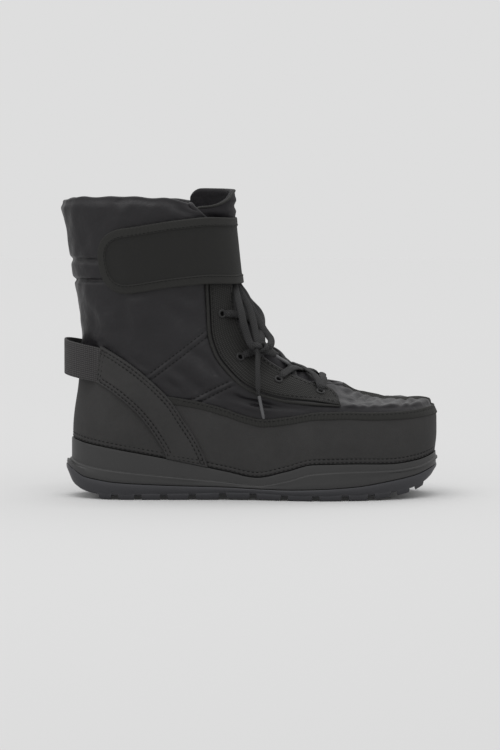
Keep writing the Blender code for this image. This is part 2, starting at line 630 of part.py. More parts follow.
def make_strap():
    def under(row):
        place = upper_place(np.zeros(COLUMNS) + row, AROUND)
        climb = (STRAP_OVER_EYESTAY - STRAP_OVER_SHAFT) * ease(*STRAP_RAMP, place[:, 0])
        dip = (STRAP_OVER_EYESTAY - STRAP_OVER_THROAT) * ease(2, 4, in_front_of_throat(min(row, 13.5)))
        return STRAP_OVER_SHAFT + climb - dip

    rows = (11, 12.45, 13.5, 14.5, 15.3, COLLAR_ROW)
    strap = layer("ankle_strap", (under, lambda r: under(r) + STRAP_THICKNESS), rows, "strap_webbing")
    x = np.linspace(STRAP_END_X + STRAP_END_LENGTH, 12, 7)
    turn = np.linspace(0.5 * math.pi, 1.5 * math.pi, 11)
    end_x = STRAP_END_X + STRAP_END_LENGTH * (1 + strap_corner(np.cos(turn)))
    end = np.column_stack([end_x, strap_middle(end_x) + STRAP_HALF_WIDTH * strap_corner(np.sin(turn))])
    upper = np.column_stack([x, strap_middle(x) + STRAP_HALF_WIDTH])[::-1]
    lower = np.column_stack([x, strap_middle(x) - STRAP_HALF_WIDTH])
    cut(strap, prism("strap_cutter", np.vstack([upper[:-1], end, lower[1:]])), "INTERSECT")


def strap_middle(x):
    return smooth_through([s.x for s in STRAP_LINE], [s.centre_z for s in STRAP_LINE], x)


def strap_corner(value):
    """Fuller than a circle, so that the strap's end has a flat tip."""
    return np.sign(value) * np.abs(value) ** 0.85


def make_pull_loop():
    """A webbing band bent round the back of the heel, from one stay to the other."""
    bm = bmesh.new()
    lower, upper = [], []
    for angle in np.linspace(-0.5 * math.pi, 0.5 * math.pi, 15):
        bend = max(math.cos(angle), 0.0) ** 0.75
        x = LOOP_X + (LOOP_BACK_X - LOOP_X) * bend
        y = LOOP_HALF_GAP * math.copysign(abs(math.sin(angle)) ** 0.8, angle)
        z = LOOP_MIDDLE_Z[0] + (LOOP_MIDDLE_Z[1] - LOOP_MIDDLE_Z[0]) * bend
        lower += add_ring(bm, [(x, y, z - LOOP_WIDTH / 2)])
        upper += add_ring(bm, [(x, y, z + LOOP_WIDTH / 2)])
    for k in range(len(lower) - 1):
        bm.faces.new((lower[k], lower[k + 1], upper[k + 1], upper[k]))
    loop = add_mesh("pull_loop", bm, "grid_webbing")
    thick = loop.modifiers.new("webbing", "SOLIDIFY")
    thick.thickness = LOOP_THICKNESS * MM
    thick.offset = 0.0


# Eyelets and laces
def eyelet_frame(place, side, out):
    """Where an eyelet sits on the upper, with its axis along the surface's outward direction."""
    row, around = place_on_upper(*place, side)
    normal = Vector(upper_normal(np.array([row]), np.array([around]))[0])
    point = upper_point(np.array([row]), np.array([around]), np.array([out]))[0]
    return Matrix.Translation(Vector((point - ORIGIN) * MM)) @ normal.to_track_quat("Z", "Y").to_matrix().to_4x4()


def eyelet_holes(side, sign):
    bm = bmesh.new()
    for place in EYELETS:
        bmesh.ops.create_cone(
            bm, cap_ends=True, segments=EYELET_SIDES, depth=8 * MM, radius1=(EYELET_BARREL + GAP) * MM,
            radius2=(EYELET_BARREL + GAP) * MM, matrix=eyelet_frame(place, sign, PANEL[1]))
    return add_mesh(f"holes_{side}_cutter", bm)


def make_eyelets():
    profile = (
        (2.5, EYELET_LIP), (EYELET_FLANGE, EYELET_LIP * 0.4), (EYELET_FLANGE, 0), (EYELET_BARREL, 0),
        (EYELET_BARREL, -EYELET_DEPTH), (EYELET_BORE, -EYELET_DEPTH), (EYELET_BORE, EYELET_LIP * 0.6),
    )
    for side, low_y, high_y in SIDES:
        for number, place in enumerate(EYELETS, start=1):
            bm = bmesh.new()
            verts = [bm.verts.new((r * MM, 0, z * MM)) for r, z in profile]
            for k, vert in enumerate(verts):
                bm.edges.new((vert, verts[(k + 1) % len(verts)]))
            eyelet = add_mesh(f"eyelet_{side}_{number}", bm, "eyelet_enamel")
            eyelet.matrix_local = eyelet_frame(place, math.copysign(1, high_y + low_y), PANEL[1] + 2 * GAP)
            turned = eyelet.modifiers.new("turned", "SCREW")
            turned.steps = EYELET_SIDES
            turned.render_steps = EYELET_SIDES
            turned.use_merge_vertices = True
            turned.merge_threshold = 0.00001


def tube(name, points, radius, look, roundness=2):
    curve = bpy.data.curves.new(name, "CURVE")
    curve.dimensions = "3D"
    curve.bevel_depth = radius * MM
    curve.bevel_resolution = roundness
    curve.use_fill_caps = True
    spline = curve.splines.new("POLY")
    spline.points.add(len(points) - 1)
    for vert, point in zip(spline.points, points):
        vert.co = (*((np.asarray(point) - ORIGIN) * MM), 1.0)
    return add_object(name, curve, look)


def inside_upper(point):
    row, around = place_on_upper(point[0], point[2], 1)
    edge = upper_place(row, around)
    width = edge[1] - swing(edge[0])
    return point[0] < section_value("front_x", row) and abs(point[1] - swing(point[0])) < width


def lace_run(start, finish, side, over_tongue):
    """From an eyelet straight over the tongue to one on the other side, lying close on what is under it."""
    ends = [on_upper(*start, side, 0.0), on_upper(*finish, -side, 0.0)]
    up = sum(upper_normal(*np.array([place_on_upper(*p, s)]).T)[0] for p, s in ((start, side), (finish, -side)))
    up /= np.linalg.norm(up)
    points = []
    for t in np.linspace(0, 1, 9):
        base = ends[0] + (ends[1] - ends[0]) * t
        low, high = 0.0, 80.0
        for _ in range(30):
            middle = (low + high) / 2
            if inside_upper(base + up * middle):
                low = middle
            else:
                high = middle
        on_top = base + up * low
        apart = abs(2 * t - 1)
        lift = over_tongue + (LACE_OVER_EDGE - over_tongue) * ease(0.0, 0.62, apart)
        lift += (LACE_OVER_EYELET - LACE_OVER_EDGE) * ease(0.7, 0.9, apart)
        points.append(on_upper(on_top[0], on_top[2], math.copysign(1, on_top[1] - swing(on_top[0])), lift))
    return points


def make_laces():
    runs = [lace_run(EYELETS[0], EYELETS[0], -1, LACE_OVER_TONGUE[0])]
    for lower, upper, lift in zip(EYELETS, EYELETS[1:], LACE_OVER_TONGUE[1:]):
        runs += [lace_run(lower, upper, -1, lift), lace_run(lower, upper, 1, lift)]
    pieces = []
    for number, run in enumerate(runs):
        curve = tube(f"lace_run_{number}", run, LACE_RADIUS, "lace_cord", 1)
        mesh = settled_mesh(curve)
        bpy.data.objects.remove(curve)
        pieces.append(add_object(f"lace_run_{number}_mesh", mesh))
    lace = add_object("lace_crossings", pieces[0].data.copy(), "lace_cord")
    for piece in pieces[1:]:
        cut(lace, piece, "UNION")
    for name, route in LACE_ROUTES.items():
        tube(name, smooth_line(route, len(route) + 2), LACE_RADIUS, "lace_cord")
    for name, ends in AGLETS.items():
        tube(name, ends, AGLET_RADIUS, "aglet_plastic")
    bm = bmesh.new()
    bmesh.ops.create_uvsphere(bm, u_segments=12, v_segments=8, radius=1.0)
    bmesh.ops.scale(bm, vec=Vector(KNOT_RADII) * MM, verts=bm.verts)
    bmesh.ops.translate(bm, vec=(Vector(KNOT_MIDDLE) - Vector(ORIGIN)) * MM, verts=bm.verts)
    add_mesh("lace_knot", bm, "lace_cord")


def main():
    for obj in list(bpy.data.objects):
        bpy.data.objects.remove(obj)
    for name in ("winter_boot", "cutters"):
        bpy.context.scene.collection.children.link(bpy.data.collections.new(name))
    bpy.data.collections["winter_boot"].objects.link(bpy.data.objects.new("boot_frame", None))
    make_outsole()
    make_midsole()
    make_insole()
    make_upper()
    make_tongue()
    make_rand_and_counter()
    make_stays()
    make_eyestays()
    make_strap()
    make_pull_loop()
    make_eyelets()
    make_laces()


if __name__ == "__main__":
    main()
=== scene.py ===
import math
from collections import namedtuple

import bpy
import numpy as np
from mathutils import Matrix, Vector


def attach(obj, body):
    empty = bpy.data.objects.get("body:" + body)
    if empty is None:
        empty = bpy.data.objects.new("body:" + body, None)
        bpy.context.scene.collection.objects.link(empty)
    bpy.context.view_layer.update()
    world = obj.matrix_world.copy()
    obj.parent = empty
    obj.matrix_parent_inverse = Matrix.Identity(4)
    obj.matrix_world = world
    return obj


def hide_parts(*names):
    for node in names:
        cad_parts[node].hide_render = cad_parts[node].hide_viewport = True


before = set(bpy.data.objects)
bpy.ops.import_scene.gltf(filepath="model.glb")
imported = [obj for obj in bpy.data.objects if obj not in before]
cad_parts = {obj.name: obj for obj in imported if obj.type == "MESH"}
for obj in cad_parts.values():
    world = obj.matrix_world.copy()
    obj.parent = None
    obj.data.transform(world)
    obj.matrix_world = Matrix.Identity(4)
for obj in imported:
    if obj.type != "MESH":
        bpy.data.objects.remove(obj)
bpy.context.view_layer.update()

bl_info = {
    "name": "Padded winter boot",
    "version": (1, 0, 0),
    "blender": (4, 5, 0),
    "location": "View3D > Sidebar > Boot",
    "description": "Dresses the solids of a right winter boot with upper, panels, strap, lace and sole",
    "category": "Object",
}

# Sizes of the boot in millimetres, along (x), across (y) and up (z)
MM = 0.001
ORIGIN = np.array((-0.8, 2.4, 0.0))
GAP = 0.3
UPPER_WALL = 3.5
RIM_LAP = 2.9
PANEL_TOP = 2.0
STAY_BASE = 2.1
STAY_TOP = 3.9
TOE_SWING = 9.0
SWING_REACH = (-30.0, 205.0)
COLLAR_ROW = 16.0
COLLAR_LIFT_ROW = 14.6
COLLAR_ROLL_OUT = 1.3
COLLAR_ROLL_UP = 1.9
UPPER_COLUMNS = 401
UPPER_SKIN = 0.6
LINING_SKIN = 0.8
TUFTS = 4200
WAVE_ROWS = 3.0
WIDTH_AT = (0.15, 0.42, 0.70)
POINTS_AT_ONCE = 20000

Section = namedtuple(
    "Section", "back_x back_z front_x front_z heel waist ball back_round front_round front_power")
SECTIONS = (
    Section(-142.3, 47.2, 147.2, 35.5, 34.5, 34.5, 48.5, 48, 88, 2.30),
    Section(-142.0, 57.0, 148.8, 52.0, 36.0, 36.5, 50.2, 48, 88, 2.30),
    Section(-140.8, 70.0, 148.8, 66.0, 37.0, 38.0, 50.0, 48, 88, 2.25),
    Section(-139.7, 77.0, 146.0, 73.8, 37.5, 38.4, 48.6, 49, 86, 2.10),
    Section(-139.0, 82.0, 137.2, 77.4, 37.8, 38.7, 46.6, 50, 85, 1.80),
    Section(-138.4, 86.0, 118.5, 79.0, 38.0, 39.0, 45.2, 50, 85, 1.65),
    Section(-137.9, 90.5, 94.0, 84.4, 38.0, 39.3, 44.0, 51, 84, 1.75),
    Section(-137.4, 96.0, 70.0, 92.4, 38.0, 39.6, 43.0, 52, 84, 1.85),
    Section(-136.9, 104.0, 45.5, 100.4, 38.2, 39.9, 42.2, 54, 84, 1.95),
    Section(-136.5, 114.0, 23.0, 112.2, 38.6, 40.3, 41.8, 56, 82, 2.00),
    Section(-136.3, 128.0, 6.6, 130.5, 39.6, 41.4, 41.9, 58, 78, 2.00),
    Section(-138.0, 144.0, -4.4, 151.0, 41.0, 43.2, 42.6, 60, 72, 2.00),
    Section(-141.0, 163.0, -10.0, 168.0, 42.6, 45.2, 43.8, 62, 68, 2.00),
    Section(-143.4, 181.0, -12.2, 184.0, 43.7, 46.7, 45.0, 63, 66, 2.00),
    Section(-147.2, 203.0, -14.2, 203.0, 44.7, 48.2, 46.2, 64, 66, 2.00),
    Section(-151.0, 226.0, -16.2, 223.0, 45.6, 49.2, 47.2, 65, 67, 2.00),
    Section(-153.2, 239.4, -17.0, 238.0, 46.0, 49.6, 47.6, 66, 68, 2.00),
    Section(-154.4, 255.0, -17.4, 253.0, 46.2, 49.8, 47.8, 66, 68, 2.00),
)

SoleRow = namedtuple("SoleRow", "x rim step tread ground flare bed")
SOLE = (
    SoleRow(-142.3, 47.0, 31.4, 27.0, 17.6, 7.0, 33.0),
    SoleRow(-138.0, 45.8, 28.6, 23.0, 7.6, 6.4, 33.0),
    SoleRow(-131.0, 44.0, 26.6, 18.2, 2.8, 5.6, 33.0),
    SoleRow(-121.0, 42.1, 24.8, 16.0, 0.7, 5.0, 33.0),
    SoleRow(-108.0, 39.8, 23.1, 14.2, 0.0, 4.8, 33.0),
    SoleRow(-60.0, 30.8, 18.3, 11.8, 0.0, 4.6, 29.5),
    SoleRow(-20.0, 22.2, 14.4, 10.6, 1.2, 4.6, 21.0),
    SoleRow(5.0, 17.5, 11.8, 9.4, 1.0, 4.6, 16.8),
    SoleRow(28.0, 22.5, 15.7, 9.0, 0.0, 4.6, 18.5),
    SoleRow(50.0, 28.4, 21.9, 9.6, 0.0, 4.6, 19.5),
    SoleRow(82.0, 28.9, 23.7, 11.4, 0.0, 4.4, 20.5),
    SoleRow(111.0, 28.3, 24.0, 15.8, 2.4, 4.0, 22.0),
    SoleRow(132.0, 30.5, 26.2, 20.0, 6.8, 3.6, 24.5),
    SoleRow(143.0, 33.5, 30.0, 24.3, 13.6, 3.3, 26.5),
    SoleRow(147.2, 35.3, 32.0, 26.2, 19.6, 3.2, 27.5),
)
LUG_DEPTH = 3.4
LUG_INSET = 2.7
LUG_LEAST = 13.0
LUG_COLUMNS = 36
INSOLE_THICKNESS = 4.0

# Side-view lines of the panels
RAND_TOP = (
    (152, 72.8), (145, 72.2), (126, 70.5), (100, 70.2), (75, 71.2), (55, 71), (30, 67.2), (10, 65),
    (-3, 67.4), (-22, 73.8), (-42, 79.2), (-60, 82.4), (-96, 87))
STAY_UPPER = (
    (-125.4, 126.2), (-119.6, 123.6), (-96, 109.3), (-78.6, 94.9), (-64.2, 80.4), (-53.9, 64.9),
    (-43.4, 48.3), (-35.3, 29.7), (-31, 12))
STAY_LOWER = (
    (-125.4, 95.6), (-109.6, 85.5), (-96, 74.1), (-84, 60.7), (-75.5, 48.3), (-70.2, 39), (-62, 12))
COUNTER_TOP_Z = 112.0
THROAT_EDGE = (
    (66, 88.6), (54.4, 91.4), (34.7, 99), (16.1, 109), (5, 118), (-5, 130), (-11.5, 146), (-15, 166),
    (-17.5, 190), (-21, 210), (-30, 221), (-40, 231), (-52, 244), (-58, 251))
THROAT_ROWS = (6.85, 7.2)
EYESTAY_BACK = (
    (-34.5, 206), (-36, 172), (-35.3, 158), (-34, 135), (-28.8, 117.3), (-18.5, 103), (-5.5, 91.6),
    (12.6, 83.8), (35.8, 78.9), (71.8, 75.6))
EYESTAY_TIP = ((71.6, 76.8), (70.4, 81.6), (66.8, 86.4), (61.5, 89.4))
PIPING_WIDTH = 2.6
VAMP_TAPE = 8.0
VAMP_TAPE_ROWS = (6.86, 2.9)
STRAP_LINE = ((-125, 188.6), (-97, 192.6), (-60, 198.2), (-37, 200.2), (-10, 198.4), (12, 198))
STRAP_HALF_WIDTH = 26.6
STRAP_END_X = -124.5
STRAP_END_LENGTH = 27.0
STRAP_ROUNDNESS = 0.85
STRAP_THICKNESS = 2.5
STRAP_BINDING = 7.6
TONGUE_LENGTH = 150.0
TONGUE_WIDTH = 86.0
TONGUE_CORNER = 9.0
TONGUE_THICKNESS = 4.5
TONGUE_LAP = 15.0
TONGUE_BACK_X = -47.0
GROOVE_ROWS = (12.70, 13.50)
STITCH_ROWS = (2.2, 5.0)
LOOP_X = -125.9
LOOP_BACK_X = -150.2
LOOP_HALF_GAP = 27.5
LOOP_WIDTH = 28.4
LOOP_MIDDLE_Z = (108.6, 113.8)
EYELET_RADIUS = 2.75
EYELET_WIRE = 0.95
EYELET_BORE = 2.1
EYELET_DEPTH = 3.4
EYELETS = ((55.2, 85.6), (21.5, 95.6), (-9.3, 114.0), (-24.2, 149.0))
LACE_STARTS = (EYELETS[0], (40.0, 92.0), (9.0, 110.0))
LACE_LIFTS = (0.5, 1.6, 2.4)
BOW_FACE = (0.35, -1.0, 0.2)
END_FACE = (0.9, -0.55, 0.1)
SIDES = (("outer", -1), ("inner", 1))
LAPPED_SEAMS = (((-34.5, 134.5), (-82.5, 97.8)), ((-15.5, 94.2), (-47.5, 78.2)))

KNOT_MIDDLE = (7.0, -36.5, 121.5)
LACE_ROUTES = {
    "lace_loop_outer": (
        (0.2, -38, 124.6), (-2.8, -36.5, 131.5), (-5.8, -36, 141), (-8, -32.6, 151), (-11, -22.5, 162.5),
        (-13.4, -12, 172), (-13.8, -9.4, 178.4), (-13.6, -6.2, 178.4), (-12.6, -4.8, 172.6),
        (-8.2, -8, 164.5), (-2.4, -15.8, 155), (1.2, -24, 144.5), (3.4, -30, 135), (4.6, -34, 128.4)),
    "lace_loop_inner": (
        (15.4, -34.2, 123.6), (16.4, -28.5, 127.4), (11.6, -20.5, 134), (5.4, -13, 144), (-0.4, -7, 154.5),
        (-5, -2.5, 163.5), (-10.8, 0.4, 171.6), (-12.8, 2.6, 178), (-12.9, 6, 178), (-11.4, 7.6, 171.8),
        (-4.8, 8, 161), (0.8, 7, 154.5), (6, 3.4, 149.4), (8.6, -3, 143.5), (8.8, -12, 137.4),
        (8.6, -24, 132), (8.8, -31.6, 129.2)),
    "lace_end_outer": (
        (5.8, -39.5, 117), (5.2, -44.5, 108.5), (5.4, -48, 100), (5.6, -49.8, 92), (6.2, -50.2, 85.4)),
    "lace_end_inner": ((14.2, -35.2, 119.2), (16.8, -31.4, 117.9), (19.4, -27.6, 115.8)),
}
AGLET_SIZE = (2.7, 2.4)
AGLETS = {
    "aglet_outer": ((6.4, -50.3, 84.9), (10.2, -50.8, 66.6)),
    "aglet_inner": ((19.9, -26.9, 115.3), (30.4, -20.6, 108.4)),
}

# The stage in metres: the view, and the floor close to the boot, which hardly glows
VIEW_DISTANCE = 3.1
VIEW_WIDTH = 0.4055
VIEW_AIM_Z = 0.0975
CONTACT_HALF_LENGTH = 0.125
CONTACT_HALF_WIDTH = 0.03
CONTACT_REACH_SQUARED = 0.007
# Shares of the floor's glow and of its colour
CONTACT_GLOW = 0.07
FLOOR_FRONT = 0.955
FLOOR_BACK = 1.07
FLOOR_UNDER_GLOW = 0.603

# Creases of the nylon in side view, in millimetres
Crease = namedtuple("Crease", "start end depth width")
OUTER_CREASES = (
    Crease((-49, 122), (-24, 98), 1.5, 4.2),
    Crease((-62, 108), (-38, 85), 1.2, 4.0),
    Crease((-36, 118), (-27, 106), 0.8, 3.0),
    Crease((-70, 98), (-55, 88), 0.8, 3.2),
    Crease((-20, 84.5), (22, 74.5), 1.1, 2.6),
    Crease((-8, 79), (46, 73.5), 0.8, 2.2),
    Crease((-100, 112), (-84, 101), 1.4, 5.0),
    Crease((-99, 243), (-106, 233), 0.9, 3.4),
    Crease((-66, 238), (-44, 226), 1.2, 3.6),
    Crease((-78, 164), (-50, 142), 0.9, 6.5),
    Crease((-108, 160), (-98, 128), 0.8, 7.0),
    Crease((-128, 150), (-120, 132), 0.8, 5.0),
    Crease((-64, 168), (-42, 160), 0.7, 4.0),
)
INNER_CREASES = (
    Crease((-52, 119), (-26, 101), 1.3, 4.4),
    Crease((-66, 104), (-40, 84), 1.2, 3.8),
    Crease((-18, 85), (26, 75), 1.0, 2.6),
    Crease((-102, 114), (-82, 102), 1.2, 5.0),
    Crease((-88, 243), (-80, 231), 0.9, 3.6),
    Crease((-84, 160), (-52, 146), 0.9, 6.0),
    Crease((-112, 158), (-106, 130), 0.9, 6.4),
)


# Lines and tables
def smooth_through(keys, values, at):
    """Monotone cubic through a table's rows, held level beyond its ends."""
    keys = np.asarray(keys, float)
    values = np.asarray(values, float)
    steps = np.diff(keys)
    slopes = np.diff(values) / steps
    tangents = np.concatenate(([slopes[0]], np.zeros(len(keys) - 2), [slopes[-1]]))
    for k in range(1, len(keys) - 1):
        if slopes[k - 1] * slopes[k] > 0:
            before = 2 * steps[k] + steps[k - 1]
            after = steps[k] + 2 * steps[k - 1]
            tangents[k] = (before + after) / (before / slopes[k - 1] + after / slopes[k])
    at = np.clip(at, keys[0], keys[-1])
    k = np.clip(np.searchsorted(keys, at, side="right") - 1, 0, len(keys) - 2)
    t = (at - keys[k]) / steps[k]
    return (
        (1 + 2 * t) * (1 - t) ** 2 * values[k]
        + t * (1 - t) ** 2 * steps[k] * tangents[k]
        + t * t * (3 - 2 * t) * values[k + 1]
        + t * t * (t - 1) * steps[k] * tangents[k + 1]
    )


def lengths(points):
    """Distance along a line at each of its points."""
    return np.concatenate(([0], np.cumsum(np.linalg.norm(np.diff(points, axis=0), axis=1))))


def smooth_line(points, count):
    """Points spread evenly along a smooth line through a few points."""
    points = np.asarray(points, float)
    along = lengths(points)
    at = np.linspace(0, along[-1], count)
    return np.column_stack([smooth_through(along, column, at) for column in points.T])


def softened(path, reach):
    """A dense line with its kinks rounded over a reach of points, its ends kept."""
    before = 2 * path[0] - path[reach:0:-1]
    after = 2 * path[-1] - path[-2:-reach - 2:-1]
    weight = np.hanning(2 * reach + 3)[1:-1]
    long = np.vstack([before, path, after])
    return np.column_stack([np.convolve(column, weight / weight.sum(), "valid") for column in long.T])


def along_line(line, share):
    """Points of a line at shares of its length."""
    along = lengths(line) / lengths(line)[-1]
    return np.stack([np.interp(share, along, column) for column in line.T], axis=-1)


def moved_sideways(line, distance):
    """The line moved to its left by a distance, looking along it."""
    tangent = np.gradient(line, axis=0)
    tangent /= np.linalg.norm(tangent, axis=1)[:, None]
    return line + np.asarray(distance)[..., None] * np.column_stack([-tangent[:, 1], tangent[:, 0]])


def ease(low, high, at):
    t = np.clip((np.asarray(at, float) - low) / (high - low), 0, 1)
    return t * t * (3 - 2 * t)


def by_x(line, x):
    """Height of a side-view line, from the place along the boot."""
    order = np.argsort(line[:, 0])
    return np.interp(x, line[order, 0], line[order, 1])


def beside(line, flat):
    """How far each side-view point lies to the right of a line, looking along it."""
    flat = np.asarray(flat, float)
    shape = flat.shape[:-1]
    flat = flat.reshape(-1, 2)
    tangent = np.gradient(line, axis=0)
    away = []
    for first in range(0, len(flat), POINTS_AT_ONCE):
        part = flat[first:first + POINTS_AT_ONCE]
        apart = part[:, None, :] - line[None, :, :]
        nearest = np.argmin((apart**2).sum(axis=2), axis=1)
        offset = apart[np.arange(len(part)), nearest]
        way = tangent[nearest]
        right = way[:, 1] * offset[:, 0] - way[:, 0] * offset[:, 1]
        away.append(right / np.linalg.norm(way, axis=1))
    return np.concatenate(away).reshape(shape)


def ripple(points, size, seed):
    """Soft unevenness of about one size, from a few crossing waves."""
    rng = np.random.default_rng(seed)
    total = np.zeros(np.asarray(points).shape[:-1])
    for _ in range(7):
        way = rng.normal(size=3)
        way *= 2 * math.pi / size * rng.uniform(0.7, 1.4) / np.linalg.norm(way)
        total += np.sin(np.asarray(points) @ way + rng.uniform(0, 2 * math.pi))
    return total / 3.5


def crumple(points, size, seed):
    """Small facets with soft ridges between them, as in crushed cloth."""
    return 0.5 - np.abs(ripple(points, size, seed)) - 0.5 * np.abs(ripple(points, size * 0.6, seed + 1))


def spread(length, pitch, edge):
    """Shares of a length, close together over a rolled border at each end."""
    near = edge * (1 - np.cos(np.linspace(0, math.pi / 2, 5)))[:-1]
    middle = np.linspace(edge, length - edge, max(2, int((length - 2 * edge) / pitch) + 1))
    return np.concatenate([near, middle, length - near[::-1]]) / length


# The sole's lines and the upper's surface
def section_value(name, row):
    return smooth_through(range(len(SECTIONS)), [getattr(s, name) for s in SECTIONS], row)


def sole_line(name):
    """One of the sole's lines, as a function of the place along the boot."""
    def value(x):
        return smooth_through([r.x for r in SOLE], [getattr(r, name) for r in SOLE], x)
    return value


rim, step, tread, ground, flare, bed = (sole_line(n) for n in SoleRow._fields[1:])


def tread_base(x):
    """Bottom of the tread between its lugs."""
    return ground(x) + np.minimum(LUG_DEPTH, 0.42 * (tread(x) - ground(x)))


def swing(x):
    """How far the middle of the boot lies to the inner side."""
    return TOE_SWING * ease(*SWING_REACH, x)


def side_place(row, share):
    """Side-view x and z at a share of a section's length from back to front."""
    back_x, back_z = section_value("back_x", row), section_value("back_z", row)
    front_x, front_z = section_value("front_x", row), section_value("front_z", row)
    x = back_x + (front_x - back_x) * share
    z = back_z + (front_z - back_z) * share
    level = SECTIONS[0].back_z + (SECTIONS[0].front_z - SECTIONS[0].back_z) * share
    wave = np.clip(1 - np.asarray(row, float) / WAVE_ROWS, 0, 1) ** 1.5
    return x, z + wave * (rim(x) + GAP - level)


def share_of(around):
    around = (np.asarray(around, float) + 1) % 2 - 1
    return (1 - np.cos(math.pi * np.abs(around))) / 2


def upper_place(row, around):
    """A point of the upper: around is 0 at the heel, -1 and 1 at the toe, below 0 on the outer side."""
    around = (np.asarray(around, float) + 1) % 2 - 1
    share = share_of(around)
    x, z = side_place(row, share)
    length = section_value("front_x", row) - section_value("back_x", row)
    width = [section_value(n, row) for n in ("heel", "waist", "ball")]
    low, middle, high = WIDTH_AT
    half = np.where(
        share < middle,
        width[0] + (width[1] - width[0]) * ease(low, middle, share),
        width[1] + (width[2] - width[1]) * ease(middle, high, share),
    )
    from_back = np.clip(share * length / section_value("back_round", row), 0, 1)
    from_front = np.clip((1 - share) * length / section_value("front_round", row), 0, 1)
    power = section_value("front_power", row)
    half = half * np.sqrt(1 - (1 - from_back) ** 2)
    half = half * (1 - (1 - from_front) ** power) ** (1 / power)
    return np.stack([x, swing(x) + np.sign(around) * half, z], axis=-1)


def upper_normal(row, around):
    """Outward direction, kept level at the rim and at the collar."""
    reach = 0.006
    up = upper_place(row + reach, around) - upper_place(row - reach, around)
    along = upper_place(row, around + reach) - upper_place(row, around - reach)
    normal = np.cross(up, along)
    level = ease(0.0, 1.2, row) * (1 - ease(COLLAR_ROW - 0.8, COLLAR_ROW, row))
    normal = normal * np.stack([np.ones_like(level), np.ones_like(level), level], axis=-1)
    return normal / np.linalg.norm(normal, axis=-1, keepdims=True)


def upper_point(row, around, out):
    row, around, out = np.broadcast_arrays(*(np.asarray(v, float) for v in (row, around, out)))
    return upper_place(row, around) + upper_normal(row, around) * out[..., None]


def row_at_height(around, height):
    """The row at which the upper reaches a height, a number or a function of x, at each place around it."""
    around = np.asarray(around, float)
    low = np.zeros(around.shape)
    high = np.full(around.shape, len(SECTIONS) - 1.0)
    share = share_of(around)
    for _ in range(40):
        row = (low + high) / 2
        x, z = side_place(row, share)
        below = z < (height(x) if callable(height) else height)
        low = np.where(below, row, low)
        high = np.where(below, high, row)
    return (low + high) / 2


def place_on_upper(x, z):
    """The row, and the place around it on the inner side, of each side-view point."""
    x, z = np.broadcast_arrays(np.asarray(x, float), np.asarray(z, float))
    low = np.zeros(x.shape)
    high = np.full(x.shape, len(SECTIONS) - 1.0)
    for _ in range(40):
        row = (low + high) / 2
        back = section_value("back_x", row)
        share = np.clip((x - back) / (section_value("front_x", row) - back), 0, 1)
        below = side_place(row, share)[1] < z
        low = np.where(below, row, low)
        high = np.where(below, high, row)
    return row, np.arccos(1 - 2 * share) / math.pi


def on_upper(flat, side, out):
    flat = np.asarray(flat, float)
    row, around = place_on_upper(flat[..., 0], flat[..., 1])
    return upper_point(row, side * around, out)


def around_at_line(rows, line):
    """Where each row meets a side-view line that cuts off its front, as a place around the inner side."""
    around = np.linspace(0.3, 1.0, 240)
    found = np.ones(len(rows))
    for k, row in enumerate(rows):
        x, z = side_place(np.full(len(around), row), share_of(around))
        past = beside(line, np.stack([x, z], axis=-1))
        first = np.argmax(past > 0)
        if past[first] > 0 and first > 0:
            part = past[first - 1] / (past[first - 1] - past[first])
            found[k] = around[first - 1] + part * (around[first] - around[first - 1])
    return found


def throat_around(rows):
    """Edge of the throat at each row: closed at the front below it, with a round bottom."""
    low, high = THROAT_ROWS
    line = smooth_line(THROAT_EDGE, 160)
    rows = np.asarray(rows, float)
    edge = around_at_line(np.maximum(rows, high), line)
    share = np.clip((rows - low) / (high - low), 0, 1)
    return 1 - (1 - edge) * np.sqrt(1 - (1 - share) ** 2)


def drawn_in(turn, edge):
    """Places round each row, from heel to throat: only the front part is drawn in to the throat's edge."""
    size = np.abs(turn)[None, :]
    front = 0.6 + (size - 0.6) / 0.4 * (np.asarray(edge)[:, None] - 0.6)
    return np.sign(turn)[None, :] * np.where(size < 0.6, size, front)


# Meshes
def placed(points):
    """Points of the boot's own sizes, in metres in the frame."""
    return (np.asarray(points, float) - ORIGIN) * MM


def alone(piece):
    """Makes a piece the only one selected."""
    bpy.ops.object.select_all(action="DESELECT")
    piece.select_set(True)
    bpy.context.view_layer.objects.active = piece


def grid_piece(name, points, uv=None):
    """A flat grid whose vertices are moved, each to its place on the boot."""
    rows, columns = points.shape[:2]
    bpy.ops.object.select_all(action="DESELECT")
    bpy.ops.mesh.primitive_grid_add(x_subdivisions=columns - 1, y_subdivisions=rows - 1, size=1)
    piece = bpy.context.object
    piece.name = name
    mesh = piece.data
    flat = np.empty(len(mesh.vertices) * 3)
    mesh.vertices.foreach_get("co", flat)
    flat = flat.reshape(-1, 3)
    column = np.rint((flat[:, 0] + 0.5) * (columns - 1)).astype(int)
    row = np.rint((flat[:, 1] + 0.5) * (rows - 1)).astype(int)
    mesh.vertices.foreach_set("co", placed(points)[row, column].ravel())
    if uv is not None:
        corner = np.empty(len(mesh.loops), int)
        mesh.loops.foreach_get("vertex_index", corner)
        mesh.uv_layers.active.data.foreach_set("uv", (uv * MM)[row, column][corner].ravel())
    mesh.update()
    return piece


def faces_piece(name, points, faces):
    """A piece from its points and faces."""
    mesh = bpy.data.meshes.new(name)
    mesh.from_pydata(placed(points).tolist(), [], faces)
    piece = bpy.data.objects.new(name, mesh)
    bpy.context.scene.collection.objects.link(piece)
    alone(piece)
    return piece


def joined(name, pieces):
    bpy.ops.object.select_all(action="DESELECT")
    for piece in pieces:
        piece.select_set(True)
    bpy.context.view_layer.objects.active = pieces[0]
    if len(pieces) > 1:
        bpy.ops.object.join()
    piece = bpy.context.object
    piece.name = name
    return piece


